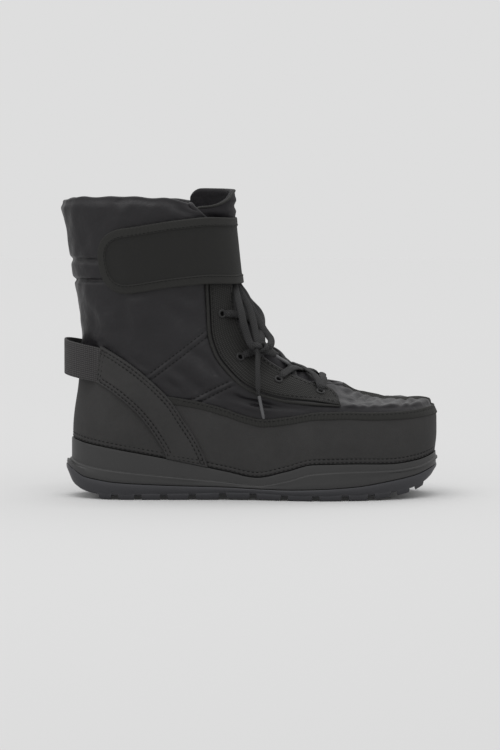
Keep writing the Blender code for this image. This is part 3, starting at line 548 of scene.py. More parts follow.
def welded(piece, reach=0.00002):
    """Merges meeting vertices and turns all faces outwards."""
    alone(piece)
    bpy.ops.object.mode_set(mode="EDIT")
    bpy.ops.mesh.select_all(action="SELECT")
    bpy.ops.mesh.remove_doubles(threshold=reach)
    bpy.ops.mesh.normals_make_consistent(inside=False)
    bpy.ops.object.mode_set(mode="OBJECT")
    return piece


def shaped_by(piece, kind, **settings):
    """Adds a modifier with its settings and applies it."""
    alone(piece)
    modifier = piece.modifiers.new(kind.lower(), kind)
    for name, value in settings.items():
        setattr(modifier, name, value)
    bpy.ops.object.modifier_apply(modifier=modifier.name)
    return piece


def shell(name, outer, inner, uv):
    """A closed piece between two grids that share their border."""
    face = grid_piece(f"{name}_face", outer, uv)
    back = grid_piece(f"{name}_back", inner, uv)
    return welded(joined(name, [face, back]))


def rolled(away, edge):
    """Share of the full thickness at a distance from a border that rolls down over an edge."""
    return np.sqrt(1 - (1 - np.clip(away / edge, 0, 1)) ** 2)


def panel(
        name, place, length, width, base, top, edge=1.0, pitch=(1.6, 1.6), relief=None, fine=0.0,
        lies_on=None):
    """A sewn panel on the upper: place gives its row and around at shares along and across it.

    Its face rises from base to top over the edge. Relief moves the face and fades out at the edge,
    and lies_on moves the whole panel.
    """
    along = spread(length, pitch[0], edge)
    across = spread(width, pitch[1], edge)
    near = np.arange(edge + 0.4, fine, 0.55) / width
    across = np.unique(np.concatenate([across, near, 1 - near]).round(5))
    along, across = np.meshgrid(along, across)
    row, around = place(along, across)
    away = np.minimum(np.minimum(along, 1 - along) * length, np.minimum(across, 1 - across) * width)
    out = base + (top - base) * rolled(away, edge)
    if relief is not None:
        out = out + relief(row, around) * np.clip(away / 1.6, 0, 1)
    level = 0.0 if lies_on is None else lies_on(row, around)
    below = np.full(out.shape, base)
    uv = np.stack([along * length, across * width], axis=-1)
    return shell(name, upper_point(row, around, out + level), upper_point(row, around, below + level), uv)


def length_round(wide, thick):
    """About the length round an oval cord."""
    return (wide + thick) * 1.5


def tube(name, path, up, wide, thick, sides=16, taper=None):
    """An oval cord swept along a path, flat side towards up, with its UV in length and turn."""
    path = np.asarray(path, float)
    tangent = np.gradient(path, axis=0)
    tangent /= np.linalg.norm(tangent, axis=1)[:, None]
    up = np.broadcast_to(np.asarray(up, float), path.shape)
    side = np.cross(tangent, up)
    side /= np.linalg.norm(side, axis=1)[:, None]
    top = np.cross(side, tangent)
    along = lengths(path)
    turn = np.linspace(0, 2 * math.pi, sides + 1)
    size = np.ones(len(path)) if taper is None else taper
    cos = np.cos(turn)[None, :] * size[:, None] * wide / 2
    sin = np.sin(turn)[None, :] * size[:, None] * thick / 2
    rings = path[:, None, :] + side[:, None, :] * cos[..., None] + top[:, None, :] * sin[..., None]
    start = np.repeat(path[:1, None, :], sides + 1, axis=1)
    finish = np.repeat(path[-1:, None, :], sides + 1, axis=1)
    points = np.concatenate([start, rings, finish])
    run = np.concatenate([[0], along, [along[-1]]])
    across = turn / (2 * math.pi) * length_round(wide, thick)
    uv = np.stack(np.broadcast_arrays(run[:, None], across[None, :]), axis=-1)
    return welded(grid_piece(name, points, uv))


def stitched(name, rows, stitch=2.7, pause=1.0, radius=0.31):
    """Rows of stitches, each a short thread that dips into the cloth at both ends."""
    rings = ((0.0, 0.0, -0.35), (0.16, 0.8, 0.1), (0.5, 1.0, 0.45), (0.84, 0.8, 0.1), (1.0, 0.0, -0.35))
    turn = np.arange(5) * 2 * math.pi / 5
    points, faces = [], []
    for line, normal in rows:
        along = lengths(line)
        starts = np.arange(0.4, along[-1] - stitch, stitch + pause)
        for start in starts:
            place = [np.interp(start + stitch * r[0], along, column) for r in rings for column in line.T]
            place = np.array(place).reshape(-1, 3)
            up = np.array([np.interp(start + stitch / 2, along, column) for column in normal.T])
            way = place[-1] - place[0]
            side = np.cross(way, up)
            side /= np.linalg.norm(side)
            up = np.cross(side, way)
            up /= np.linalg.norm(up)
            first = len(points)
            points.append(place[0] + up * rings[0][2])
            for (_, size, lift), middle in zip(rings[1:-1], place[1:-1]):
                for angle in turn:
                    reach = (side * math.cos(angle) * 1.15 + up * math.sin(angle)) * size * radius
                    points.append(middle + reach + up * lift * radius)
            points.append(place[-1] + up * rings[-1][2])
            for k in range(5):
                n = (k + 1) % 5
                faces.append((first, first + 1 + n, first + 1 + k))
                for r in range(2):
                    a = first + 1 + 5 * r
                    faces.append((a + k, a + n, a + 5 + n, a + 5 + k))
                faces.append((first + 11 + k, first + 11 + n, first + 16))
    return welded(faces_piece(name, np.array(points), faces), 0.0000001)


def surface_row(row, around, out):
    """A line on the upper with its outward directions, for a row of stitches."""
    row, around, out = np.broadcast_arrays(*(np.asarray(v, float) for v in (row, around, out)))
    return upper_point(row, around, out), upper_normal(row, around)


def side_row(flat, side, out):
    flat = np.asarray(flat, float)
    row, around = place_on_upper(flat[:, 0], flat[:, 1])
    return surface_row(row, side * around, out)


def finished(piece, finish, slot, *nodes, angle=40):
    """Gives a piece its finish and smooth faces, sets it on the body and hides the solids it stands for."""
    alone(piece)
    bpy.ops.object.shade_smooth_by_angle(angle=math.radians(angle))
    piece.data.materials.clear()
    piece.data.materials.append(finish)
    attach(piece, "root")
    if nodes:
        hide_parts(*nodes)
    return piece


# Finishes
class Wire:
    """A shader socket that takes part in Python arithmetic; each step adds a Math node."""

    def __init__(self, tree, socket):
        self.tree = tree
        self.socket = socket

    def math(self, operation, *values):
        node = self.tree.nodes.new("ShaderNodeMath")
        node.operation = operation
        for slot, value in zip(node.inputs, values):
            if isinstance(value, Wire):
                self.tree.links.new(value.socket, slot)
            else:
                slot.default_value = value
        return Wire(self.tree, node.outputs[0])

    def __add__(self, other):
        return self.math("ADD", self, other)

    def __radd__(self, other):
        return self.math("ADD", other, self)

    def __sub__(self, other):
        return self.math("SUBTRACT", self, other)

    def __rsub__(self, other):
        return self.math("SUBTRACT", other, self)

    def __mul__(self, other):
        return self.math("MULTIPLY", self, other)

    def __rmul__(self, other):
        return self.math("MULTIPLY", other, self)

    def sin(self):
        return self.math("SINE", self)

    def abs(self):
        return self.math("ABSOLUTE", self)

    def larger(self, other):
        return self.math("MAXIMUM", self, other)


class Finish:
    """A material in the making: its shader, its coordinates and one way to add any node."""

    def __init__(self, name, roughness=0.6, **constants):
        self.material = bpy.data.materials.new(name)
        self.material.use_nodes = True
        self.tree = self.material.node_tree
        self.shader = self.tree.nodes["Principled BSDF"]
        self.shader.inputs["Roughness"].default_value = roughness
        for socket, value in constants.items():
            self.shader.inputs[socket.replace("_", " ")].default_value = value
        coordinates = self.tree.nodes.new("ShaderNodeTexCoord")
        self.place = Wire(self.tree, coordinates.outputs["Object"])
        self.sheet = Wire(self.tree, coordinates.outputs["UV"])

    def node(self, kind, settings, sockets):
        """Adds a node with its settings, then its sockets by name or number, and gives its outputs."""
        node = self.tree.nodes.new(kind)
        for name, value in settings.items():
            setattr(node, name, value)
        for key, value in sockets.items():
            if isinstance(value, Wire):
                self.tree.links.new(value.socket, node.inputs[key])
            else:
                node.inputs[key].default_value = value
        return [Wire(self.tree, output) for output in node.outputs]

    def noise(self, scale, detail=3.0):
        sockets = {"Vector": self.place, "Scale": scale, "Detail": detail}
        return self.node("ShaderNodeTexNoise", {}, sockets)[0]

    def parts(self, vector):
        return self.node("ShaderNodeSeparateXYZ", {}, {0: vector})

    def mix(self, share, first, second):
        """A blend of two colours, which are the Mix node's sockets 6 and 7."""
        return self.node("ShaderNodeMix", {"data_type": "RGBA"}, {0: share, 6: first, 7: second})[2]

    def colour(self, wire):
        self.tree.links.new(wire.socket, self.shader.inputs["Base Color"])

    def glow(self, wire):
        self.tree.links.new(wire.socket, self.shader.inputs["Emission Color"])

    def roughness(self, wire):
        self.tree.links.new(wire.socket, self.shader.inputs["Roughness"])

    def relief(self, wire, depth, strength=1.0):
        """A height in shares of a depth in metres, as a bump."""
        bump = self.node("ShaderNodeBump", {}, {"Height": wire, "Distance": depth, "Strength": strength})[0]
        self.tree.links.new(bump.socket, self.shader.inputs["Normal"])


def shade(colour, factor):
    return (*(min(1.0, c * factor) for c in colour), 1.0)


def nylon_finish(name, colour, matte=0.0):
    """Satin cloth: a fine plain weave, soft cloudiness and small crumples."""
    made = Finish(name, Specular_IOR_Level=0.345 - 0.5 * matte)
    cloud = made.noise(26.0, 3.0)
    crush = made.noise(150.0, 4.0)
    weave = made.noise(2600.0, 2.0)
    made.colour(made.mix(cloud, shade(colour, 0.86), shade(colour, 1.16)))
    made.roughness(0.34 + matte + 0.16 * crush + 0.06 * cloud)
    made.relief(crush * 0.8 + cloud * 0.9 + weave * 0.08, 0.0014, 0.6)
    return made.material


def suede_finish(name, colour):
    """Coated split leather: matte, lightly grained, with paler rubbed patches."""
    made = Finish(name, Specular_IOR_Level=0.35)
    grain = made.noise(900.0, 3.0)
    patch = made.noise(38.0, 3.0)
    nap = made.noise(210.0, 3.0)
    made.colour(made.mix(patch * 0.5 + nap * 0.3 + grain * 0.2, shade(colour, 0.62), shade(colour, 1.44)))
    made.roughness(0.70 + 0.2 * grain)
    made.relief(grain * 0.6 + patch * 0.4, 0.0004, 0.6)
    return made.material


def webbing_finish(name, colour, pitch, depth=0.0003):
    """A coarse plain weave of square cells, over and under by turns, with painted shade darkening the hollows
    between the cells.
    """
    made = Finish(name, Specular_IOR_Level=0.35)
    u, v, _ = made.parts(made.sheet)
    turn = math.pi / pitch
    over = (u * turn).sin().abs() * (v * turn).sin().abs()
    fibre = made.noise(1400.0, 2.0)
    # Weave pattern with painted shade: darker in the hollows between the cells, lighter on the raised cells
    made.colour(made.mix(over, shade(colour, 0.45), shade(colour, 1.35)))
    made.roughness(0.92 - 0.22 * over)
    made.relief(over + fibre * 0.2, depth, 0.9)
    return made.material


def rib_finish(name, colour, pitch, depth=0.00018):
    """Ribbed tape: fine ribs across its length, with painted shade darkening the grooves between them."""
    made = Finish(name, Specular_IOR_Level=0.35)
    u = made.parts(made.sheet)[0]
    rib = (u * (math.pi / pitch)).sin().abs()
    fibre = made.noise(1200.0, 2.0)
    # Rib pattern with painted shade: darker in the grooves between the ribs, lighter on their tops
    made.colour(made.mix(rib * 0.8 + fibre * 0.2, shade(colour, 0.6), shade(colour, 1.3)))
    made.roughness(0.9 - 0.15 * rib)
    made.relief(rib + fibre * 0.25, depth, 0.9)
    return made.material


def cord_finish(name, colour, round_length):
    """Braided cord: strands that cross from left and right round it, with painted shade darkening the dips
    between them.
    """
    made = Finish(name, Specular_IOR_Level=0.4)
    u, v, _ = made.parts(made.sheet)
    strand = (u * 1900 + v * (7 * math.pi / round_length)).sin().abs()
    strand = strand * (u * 1900 - v * (7 * math.pi / round_length)).sin().abs()
    fibre = made.noise(1600.0, 2.0)
    # Braid pattern with painted shade: darker between the strands, lighter on their tops
    made.colour(made.mix(strand * 0.75 + fibre * 0.25, shade(colour, 0.45), shade(colour, 1.4)))
    made.roughness(0.88 - 0.2 * strand)
    made.relief(strand + fibre * 0.3, 0.00042, 0.9)
    return made.material


def rubber_finish(name, colour, roughness, grain=600.0):
    """Moulded rubber: a fine spark grain and a faint bloom."""
    made = Finish(name)
    fine = made.noise(grain, 3.0)
    bloom = made.noise(22.0, 4.0)
    made.colour(made.mix(bloom, shade(colour, 0.85), shade(colour, 1.25)))
    made.roughness(roughness - 0.08 + 0.1 * fine + 0.08 * bloom)
    made.relief(fine, 0.00012, 0.5)
    return made.material


def pile_finish(name, colour):
    """Short dense pile: clumped and matte with a soft sheen."""
    made = Finish(name, Specular_IOR_Level=0.15, Sheen_Weight=0.35, Sheen_Roughness=0.6)
    clump = made.noise(260.0, 4.0)
    tip = made.noise(1500.0, 2.0)
    made.colour(made.mix(clump, shade(colour, 0.5), shade(colour, 1.6)))
    made.roughness(0.92 + 0.06 * tip)
    made.relief(clump * 0.7 + tip * 0.5, 0.0012, 0.9)
    return made.material


def plain_finish(name, colour, roughness, grain, gloss=0.5):
    """A smooth hard surface with faint handling marks."""
    made = Finish(name, Specular_IOR_Level=gloss)
    mark = made.noise(grain, 3.0)
    made.colour(made.mix(mark, shade(colour, 0.85), shade(colour, 1.15)))
    made.roughness(roughness - 0.06 + 0.14 * mark)
    made.relief(mark, 0.00008, 0.4)
    return made.material


# What a user would change
class BootColours(bpy.types.PropertyGroup):
    nylon: bpy.props.FloatVectorProperty(
        name="Nylon", description="Padded cloth of shaft, vamp and tongue", subtype="COLOR",
        default=(0.0088, 0.0080, 0.0096), min=0, max=1)
    suede: bpy.props.FloatVectorProperty(
        name="Coated suede", description="Rand, heel counter and heel stays", subtype="COLOR",
        default=(0.0272, 0.0265, 0.0262), min=0, max=1)
    webbing: bpy.props.FloatVectorProperty(
        name="Webbing", description="Eyestays and strap", subtype="COLOR",
        default=(0.0150, 0.0148, 0.0138), min=0, max=1)
    loop: bpy.props.FloatVectorProperty(
        name="Pull loop", description="Webbing of the pull loop", subtype="COLOR",
        default=(0.0480, 0.0460, 0.0463), min=0, max=1)
    trim: bpy.props.FloatVectorProperty(
        name="Trim", description="Piping and ribbed bindings", subtype="COLOR",
        default=(0.0170, 0.0168, 0.0155), min=0, max=1)
    thread: bpy.props.FloatVectorProperty(
        name="Thread", description="Stitches", subtype="COLOR", default=(0.009, 0.009, 0.009), min=0, max=1)
    sidewall: bpy.props.FloatVectorProperty(
        name="Sidewall", description="Rubber of the midsole", subtype="COLOR",
        default=(0.0195, 0.0193, 0.0193), min=0, max=1)
    tread: bpy.props.FloatVectorProperty(
        name="Tread", description="Rubber of the outsole", subtype="COLOR",
        default=(0.0190, 0.0190, 0.0225), min=0, max=1)
    lace: bpy.props.FloatVectorProperty(
        name="Lace", description="Braided lace", subtype="COLOR",
        default=(0.0200, 0.0200, 0.0205), min=0, max=1)
    pile: bpy.props.FloatVectorProperty(
        name="Lining pile", description="Pile inside the boot", subtype="COLOR",
        default=(0.020, 0.020, 0.022), min=0, max=1)
    enamel: bpy.props.FloatVectorProperty(
        name="Eyelets", description="Enamel of the eyelets", subtype="COLOR",
        default=(0.015, 0.015, 0.015), min=0, max=1)
    tip: bpy.props.FloatVectorProperty(
        name="Lace tips", description="Film tips of the lace", subtype="COLOR",
        default=(0.078, 0.078, 0.081), min=0, max=1)
    floor: bpy.props.FloatVectorProperty(
        name="Floor", description="Pale floor", subtype="COLOR", default=(0.549, 0.549, 0.549), min=0, max=1)


class BootSizes(bpy.types.PropertyGroup):
    lace_width: bpy.props.FloatProperty(
        name="Lace width", description="Width of the flat side of the lace", default=0.0062,
        min=0.003, max=0.008, unit="LENGTH")
    lace_thickness: bpy.props.FloatProperty(
        name="Lace thickness", description="Thickness of the lace", default=0.0030, min=0.002, max=0.006,
        unit="LENGTH")
    stitch: bpy.props.FloatProperty(
        name="Stitch", description="Length of a stitch", default=0.0027, min=0.0015, max=0.005, unit="LENGTH")
    weave: bpy.props.FloatProperty(
        name="Grid weave", description="Pitch of the grid weave", default=0.00145, min=0.0005, max=0.003,
        unit="LENGTH")
    camera_height: bpy.props.FloatProperty(
        name="View height", description="How far the view looks down", default=math.radians(4.5),
        min=0, max=1.5, subtype="ANGLE")
    key_light: bpy.props.FloatProperty(
        name="Key light", description="Power of the large soft light overhead", default=5.0, min=0, max=1000,
        unit="POWER")
    floor_glow: bpy.props.FloatProperty(
        name="Floor glow", description="Light of the floor itself, which softens its shadows", default=0.29,
        min=0, max=5)
    backdrop: bpy.props.FloatProperty(
        name="Backdrop", description="Brightness of the studio behind the boot", default=0.73, min=0, max=5)
    overhead: bpy.props.FloatProperty(
        name="Overhead", description="How much brighter the studio is overhead", default=1.0, min=0, max=5)


def colours():
    return bpy.context.scene.boot_colours


def sizes():
    return bpy.context.scene.boot_sizes


# The upper
def free_cloth(flat):
    """How far each side-view point of the nylon lies from the panels and the strap over it."""
    x, z = flat[..., 0], flat[..., 1]
    above_rand = z - by_x(smooth_line(RAND_TOP, 60), x)
    behind_eyestay = -beside(smooth_line(EYESTAY_BACK[::-1], 90), flat)
    tip_x, tip_z = EYESTAY_BACK[-1]
    in_front = (x - tip_x) * 0.65 + (z - tip_z) * 0.76
    above_stay = -beside(smooth_line(STAY_UPPER, 90), flat)
    above_stay = np.where(x < -122, 20.0, above_stay)
    middle = smooth_through(*zip(*STRAP_LINE), x)
    off_strap = np.maximum(np.abs(z - middle) - STRAP_HALF_WIDTH, STRAP_END_X - x)
    return np.minimum.reduce([above_rand, np.maximum(behind_eyestay, in_front), above_stay, off_strap])


def creased(flat, creases):
    """Soft troughs with a ridge on each side, along short side-view lines."""
    total = np.zeros(flat.shape[:-1])
    for crease in creases:
        start = np.array(crease.start, float)
        way = np.array(crease.end, float) - start
        length = np.linalg.norm(way)
        way /= length
        away = flat - start
        along = (away @ way) / length
        off = (away[..., 0] * way[1] - away[..., 1] * way[0]) / crease.width
        fade = ease(-0.15, 0.3, along) * (1 - ease(0.7, 1.15, along))
        total += crease.depth * fade * (0.5 * np.exp(-((np.abs(off) - 1.9) ** 2)) - np.exp(-(off**2)))
    return total


def seam_relief(flat):
    """A raised lap between two sewn grooves, along each lapped seam."""
    out = np.zeros(flat.shape[:-1])
    for start, finish in np.array(LAPPED_SEAMS):
        length = np.linalg.norm(finish - start)
        way = (finish - start) / length
        along = (flat - start) @ way
        off = (flat[..., 0] - start[0]) * way[1] - (flat[..., 1] - start[1]) * way[0]
        inside = ease(-3, 1, along) * (1 - ease(-1, 3, along - length))
        lap = 0.5 * np.exp(-((off / 1.2) ** 2))
        out += inside * (lap - 0.7 * np.exp(-(((np.abs(off) - 2.4) / 1.1) ** 2)))
    return out


def vamp_relief(row, around, place, free):
    """The vamp's sewn middle, its gathers, and its swell above the rand."""
    x = place[..., 0]
    front = np.abs((np.asarray(around) + 1) % 2 - 1)
    from_middle = np.abs(place[..., 1] - swing(x))
    middle = 1.1 * np.exp(-((from_middle / 1.3) ** 2)) - 0.6 * np.exp(-(((from_middle - 3.6) / 1.8) ** 2))
    phase = x * 0.34 + from_middle * 0.13 + 1.3 * ripple(place, 40.0, 53)
    gathers = np.sqrt(np.sin(phase) ** 2 + 0.14) * (0.8 + 0.5 * ripple(place, 30.0, 55))
    cloth = 1.9 * gathers - 0.9 + 1.2 * crumple(place * (1.0, 0.6, 0.6), 24.0, 47)
    out = ease(0.5, 0.8, front) * middle + ease(-0.5, 2, free) * ease(2, 9, from_middle) * cloth
    out += 1.7 * ease(-0.5, 4, free) * (1 - ease(5, 13, free)) - 2.1 * ease(45, 90, x) * ease(3, 9, free)
    return ease(70, 80, x) * ease(2.9, 3.4, row) * out


def nylon_relief(row, around):
    """Puffs, sewn channels, seams and creases of the nylon, as a distance outwards."""
    place = upper_place(row, around)
    flat = place[..., [0, 2]]
    outer = np.asarray(around) < 0
    free = free_cloth(flat)
    loose = ease(0.5, 8.0, free)
    out = 0.9 * loose * ripple(place, 42.0, 3) + 0.4 * loose * ripple(place, 17.0, 5)
    out += 1.25 * loose * np.where(outer, creased(flat, OUTER_CREASES), creased(flat, INNER_CREASES))
    out += 0.45 * ease(1, 9, free) * crumple(place * (1.0, 1.0, 0.6), 30.0, 41)
    for channel in GROOVE_ROWS:
        off = (row - channel) / 0.10
        gather = 1 + 0.12 * np.sin(61 * around + 3 * np.sin(17 * around))
        out -= 2.3 * np.exp(-(off**2)) * gather
    puff = np.clip((row - GROOVE_ROWS[0]) / (GROOVE_ROWS[1] - GROOVE_ROWS[0]), 0, 1)
    out += 0.5 * np.sin(math.pi * puff) * ease(-6, 4, free)
    out += 0.9 * ease(14.5, 15.3, row) * ease(0, 5, free) - 2.6 * ease(15.45, COLLAR_ROW, row) ** 2
    return out + seam_relief(flat) + vamp_relief(row, around, place, free)


UPPER_ROWS = np.concatenate([
    np.linspace(0, 3, 26)[:-1], np.linspace(3, 6.5, 60)[:-1], np.linspace(6.5, 7.4, 22)[:-1],
    np.linspace(7.4, 12.2, 58)[:-1], np.linspace(12.2, 14.1, 46)[:-1], np.linspace(14.1, COLLAR_ROW, 18)])


def collar_lift(around):
    """How far the collar's edge stands above its even line: up at the outer side, down at back and front."""
    x = upper_place(np.full(np.shape(around), COLLAR_ROW), around)[..., 0]
    outer = ease(-0.02, 0.1, -np.asarray(around))
    middle = ease(-150, -132, x) * (1 - ease(-72, -46, x))
    wave = 0.5 * np.sin(x * 0.11) + 0.35 * np.sin(x * 0.27 + 1.0)
    fall = 1.6 * (1 - ease(-152, -146, x)) + 2.2 * ease(-62, -47, x)
    return outer * 2.6 * middle - (1 - outer) * 1.0 * middle - fall + wave * middle


class BOOT_OT_upper(bpy.types.Operator):
    """Makes the padded nylon upper with its collar roll"""
    bl_idname = "boot.upper"
    bl_label = "Upper"

    def execute(self, context):
        turn = np.linspace(-1, 1, UPPER_COLUMNS)
        around = drawn_in(turn, throat_around(UPPER_ROWS))
        row = np.broadcast_to(UPPER_ROWS[:, None], around.shape)
        wall = upper_point(row, around, nylon_relief(row, around))
        top = around[-1]
        lift = collar_lift(top)[None, :] * ease(COLLAR_LIFT_ROW, COLLAR_ROW, UPPER_ROWS)[:, None]
        wall[..., 2] += lift
        start = wall[-1]
        inward = -upper_normal(np.full(top.shape, COLLAR_ROW), top)
        bends = []
        for angle in np.linspace(0, math.pi, 9)[1:]:
            rise = np.array((0, 0, COLLAR_ROLL_UP * math.sin(angle)))
            bends.append(start + inward * (COLLAR_ROLL_OUT * (1 - math.cos(angle))) + rise)
        inside = []
        for level in np.linspace(COLLAR_ROW, 15.2, 6)[1:]:
            fat = UPPER_WALL + 2.0 - 1.2 * (1 - ease(15.2, 15.36, level))
            ring = upper_point(level, drawn_in(turn, throat_around([level]))[0], -fat)
            ring[:, 2] += collar_lift(top) * ease(COLLAR_LIFT_ROW, COLLAR_ROW, level)
            inside.append(ring)
        points = np.concatenate([wall, np.array(bends), np.array(inside)])[::-1]
        piece = welded(grid_piece("padded_upper", points))
        shaped_by(piece, "SOLIDIFY", thickness=UPPER_SKIN * MM, offset=-1.0)
        finished(piece, nylon_finish("padded nylon", colours().nylon), "padded_nylon", "upper", angle=60)
        return {"FINISHED"}


def vamp_tape_place(along, across):
    """A narrow strip along the vamp's middle, from the throat to the rand."""
    start, end = VAMP_TAPE_ROWS
    row = start + (end - start) * along
    turn = np.linspace(0.5, 1.0, 120)
    reach = []
    for level in row[0]:
        edge = upper_place(np.full(120, level), turn)
        reach.append(np.interp(-VAMP_TAPE / 2, -np.abs(edge[:, 1] - swing(edge[:, 0])), turn))
    return row, 1 + (2 * across - 1) * (1 - np.array(reach))


class BOOT_OT_throat(bpy.types.Operator):
    """Makes the rolled edge of cloth round the throat"""
    bl_idname = "boot.throat"
    bl_label = "Throat edge"

    def execute(self, context):
        bend = np.linspace(0.9, 0.1, 7) * math.pi
        down = np.linspace(15.85, 7.4, 88)
        foot = THROAT_ROWS[0] + 0.55 * np.linspace(1, 0, 40)[1:] ** 2
        row = np.concatenate([[15.25, 15.65], np.full(7, COLLAR_ROW), down, foot])
        straight = len(down) + len(foot)
        over = -2.0 - COLLAR_ROLL_OUT * (1 - np.cos(bend))
        out = np.concatenate([[-5.2, -5.2], over, np.full(straight, -1.5)])
        rise = np.concatenate([[0, 0], COLLAR_ROLL_UP * np.sin(bend), np.zeros(straight)])
        edge = throat_around(row)
        around = np.concatenate([-edge, edge[-2::-1]])
        row, out, rise = (np.concatenate([v, v[-2::-1]]) for v in (row, out, rise))
        path = upper_point(row, around, out)
        path[:, 2] += collar_lift(around) * ease(COLLAR_LIFT_ROW, COLLAR_ROW, row) + rise
        ahead = upper_place(row, around + np.sign(around) * 0.01) - upper_place(row, around)
        ahead /= np.linalg.norm(ahead, axis=1)[:, None]
        share = ease(15.0, 15.7, row)[:, None]
        up = upper_normal(row, around) * (1 - share) + ahead * share
        keep = np.concatenate([[True], np.linalg.norm(np.diff(path, axis=0), axis=1) > 0.4])
        up = along_line(np.column_stack([path, up])[keep], np.linspace(0, 1, 620))[:, 3:]
        path = softened(smooth_line(path[keep], 620), 4)
        roll = tube("throat_roll", path, up, 3.4, 4.2, sides=12)
        finished(roll, nylon_finish("rolled nylon", colours().nylon), "padded_nylon", angle=70)
        return {"FINISHED"}


class BOOT_OT_lining(bpy.types.Operator):
    """Makes the pile lining inside the shaft and foot"""
    bl_idname = "boot.lining"
    bl_label = "Lining"

    def execute(self, context):
        rows = np.concatenate([np.linspace(0.1, 7.4, 24)[:-1], np.linspace(7.4, 15.45, 72)])
        turn = np.linspace(-1, 1, 181)
        around = drawn_in(turn, throat_around(rows))
        row = np.broadcast_to(rows[:, None], around.shape)
        place = upper_place(row, around)
        nap = 0.35 * ripple(place, 9.0, 11) + 0.25 * ripple(place, 4.2, 12)
        under_vamp = 2.4 * ease(2.0, 3.4, row) * (1 - ease(7.2, 8.4, row))
        points = upper_point(row, around, -UPPER_WALL - 0.5 + nap - under_vamp)
        lift = collar_lift(around[-1])[None, :] * ease(COLLAR_LIFT_ROW, COLLAR_ROW, rows)[:, None]
        points[..., 2] += lift
        piece = welded(grid_piece("pile_lining", points))
        shaped_by(piece, "SOLIDIFY", thickness=LINING_SKIN * MM, offset=0.0)
        pile = pile_finish("dark pile", colours().pile)
        finished(piece, pile, "insole_felt", angle=80)
        finished(self.tufts(TUFTS), pile, "insole_felt", angle=80)
        return {"FINISHED"}

    def tufts(self, count):
        """Short locks of pile below the collar, each a curved three-sided spike."""
        rng = np.random.default_rng(61)
        row = rng.uniform(12.6, 15.42, count)
        around = rng.uniform(-1, 1, count) * (throat_around(row) - 0.015)
        inward = -upper_normal(row, around)
        base = upper_point(row, around, -UPPER_WALL - 0.3)
        base[:, 2] += collar_lift(around) * ease(COLLAR_LIFT_ROW, COLLAR_ROW, row)
        way = inward * 0.7 + (0, 0, -0.75) + rng.normal(size=(count, 3)) * 0.28
        way /= np.linalg.norm(way, axis=1)[:, None]
        size = rng.uniform(2.6, 4.2, count)[:, None]
        side = np.cross(way, inward + (0, 0, 0.01))
        side /= np.linalg.norm(side, axis=1)[:, None]
        back = np.cross(side, way)
        middle = base + way * size * 0.5 + inward * 0.35
        tip = base + way * size + (0, 0, -0.5)
        corners = [(side * math.cos(a) + back * math.sin(a)) for a in (0.0, 2.094, 4.189)]
        points = [base + c * 0.75 for c in corners] + [middle + c * 0.6 for c in corners] + [tip]
        points = np.stack(points, axis=1).reshape(-1, 3)
        shape = ((0, 1, 4, 3), (1, 2, 5, 4), (2, 0, 3, 5), (3, 4, 6), (4, 5, 6), (5, 3, 6), (2, 1, 0))
        faces = [tuple(7 * k + v for v in face) for k in range(count) for face in shape]
        return welded(faces_piece("pile_tufts", points, faces), 0.0000001)


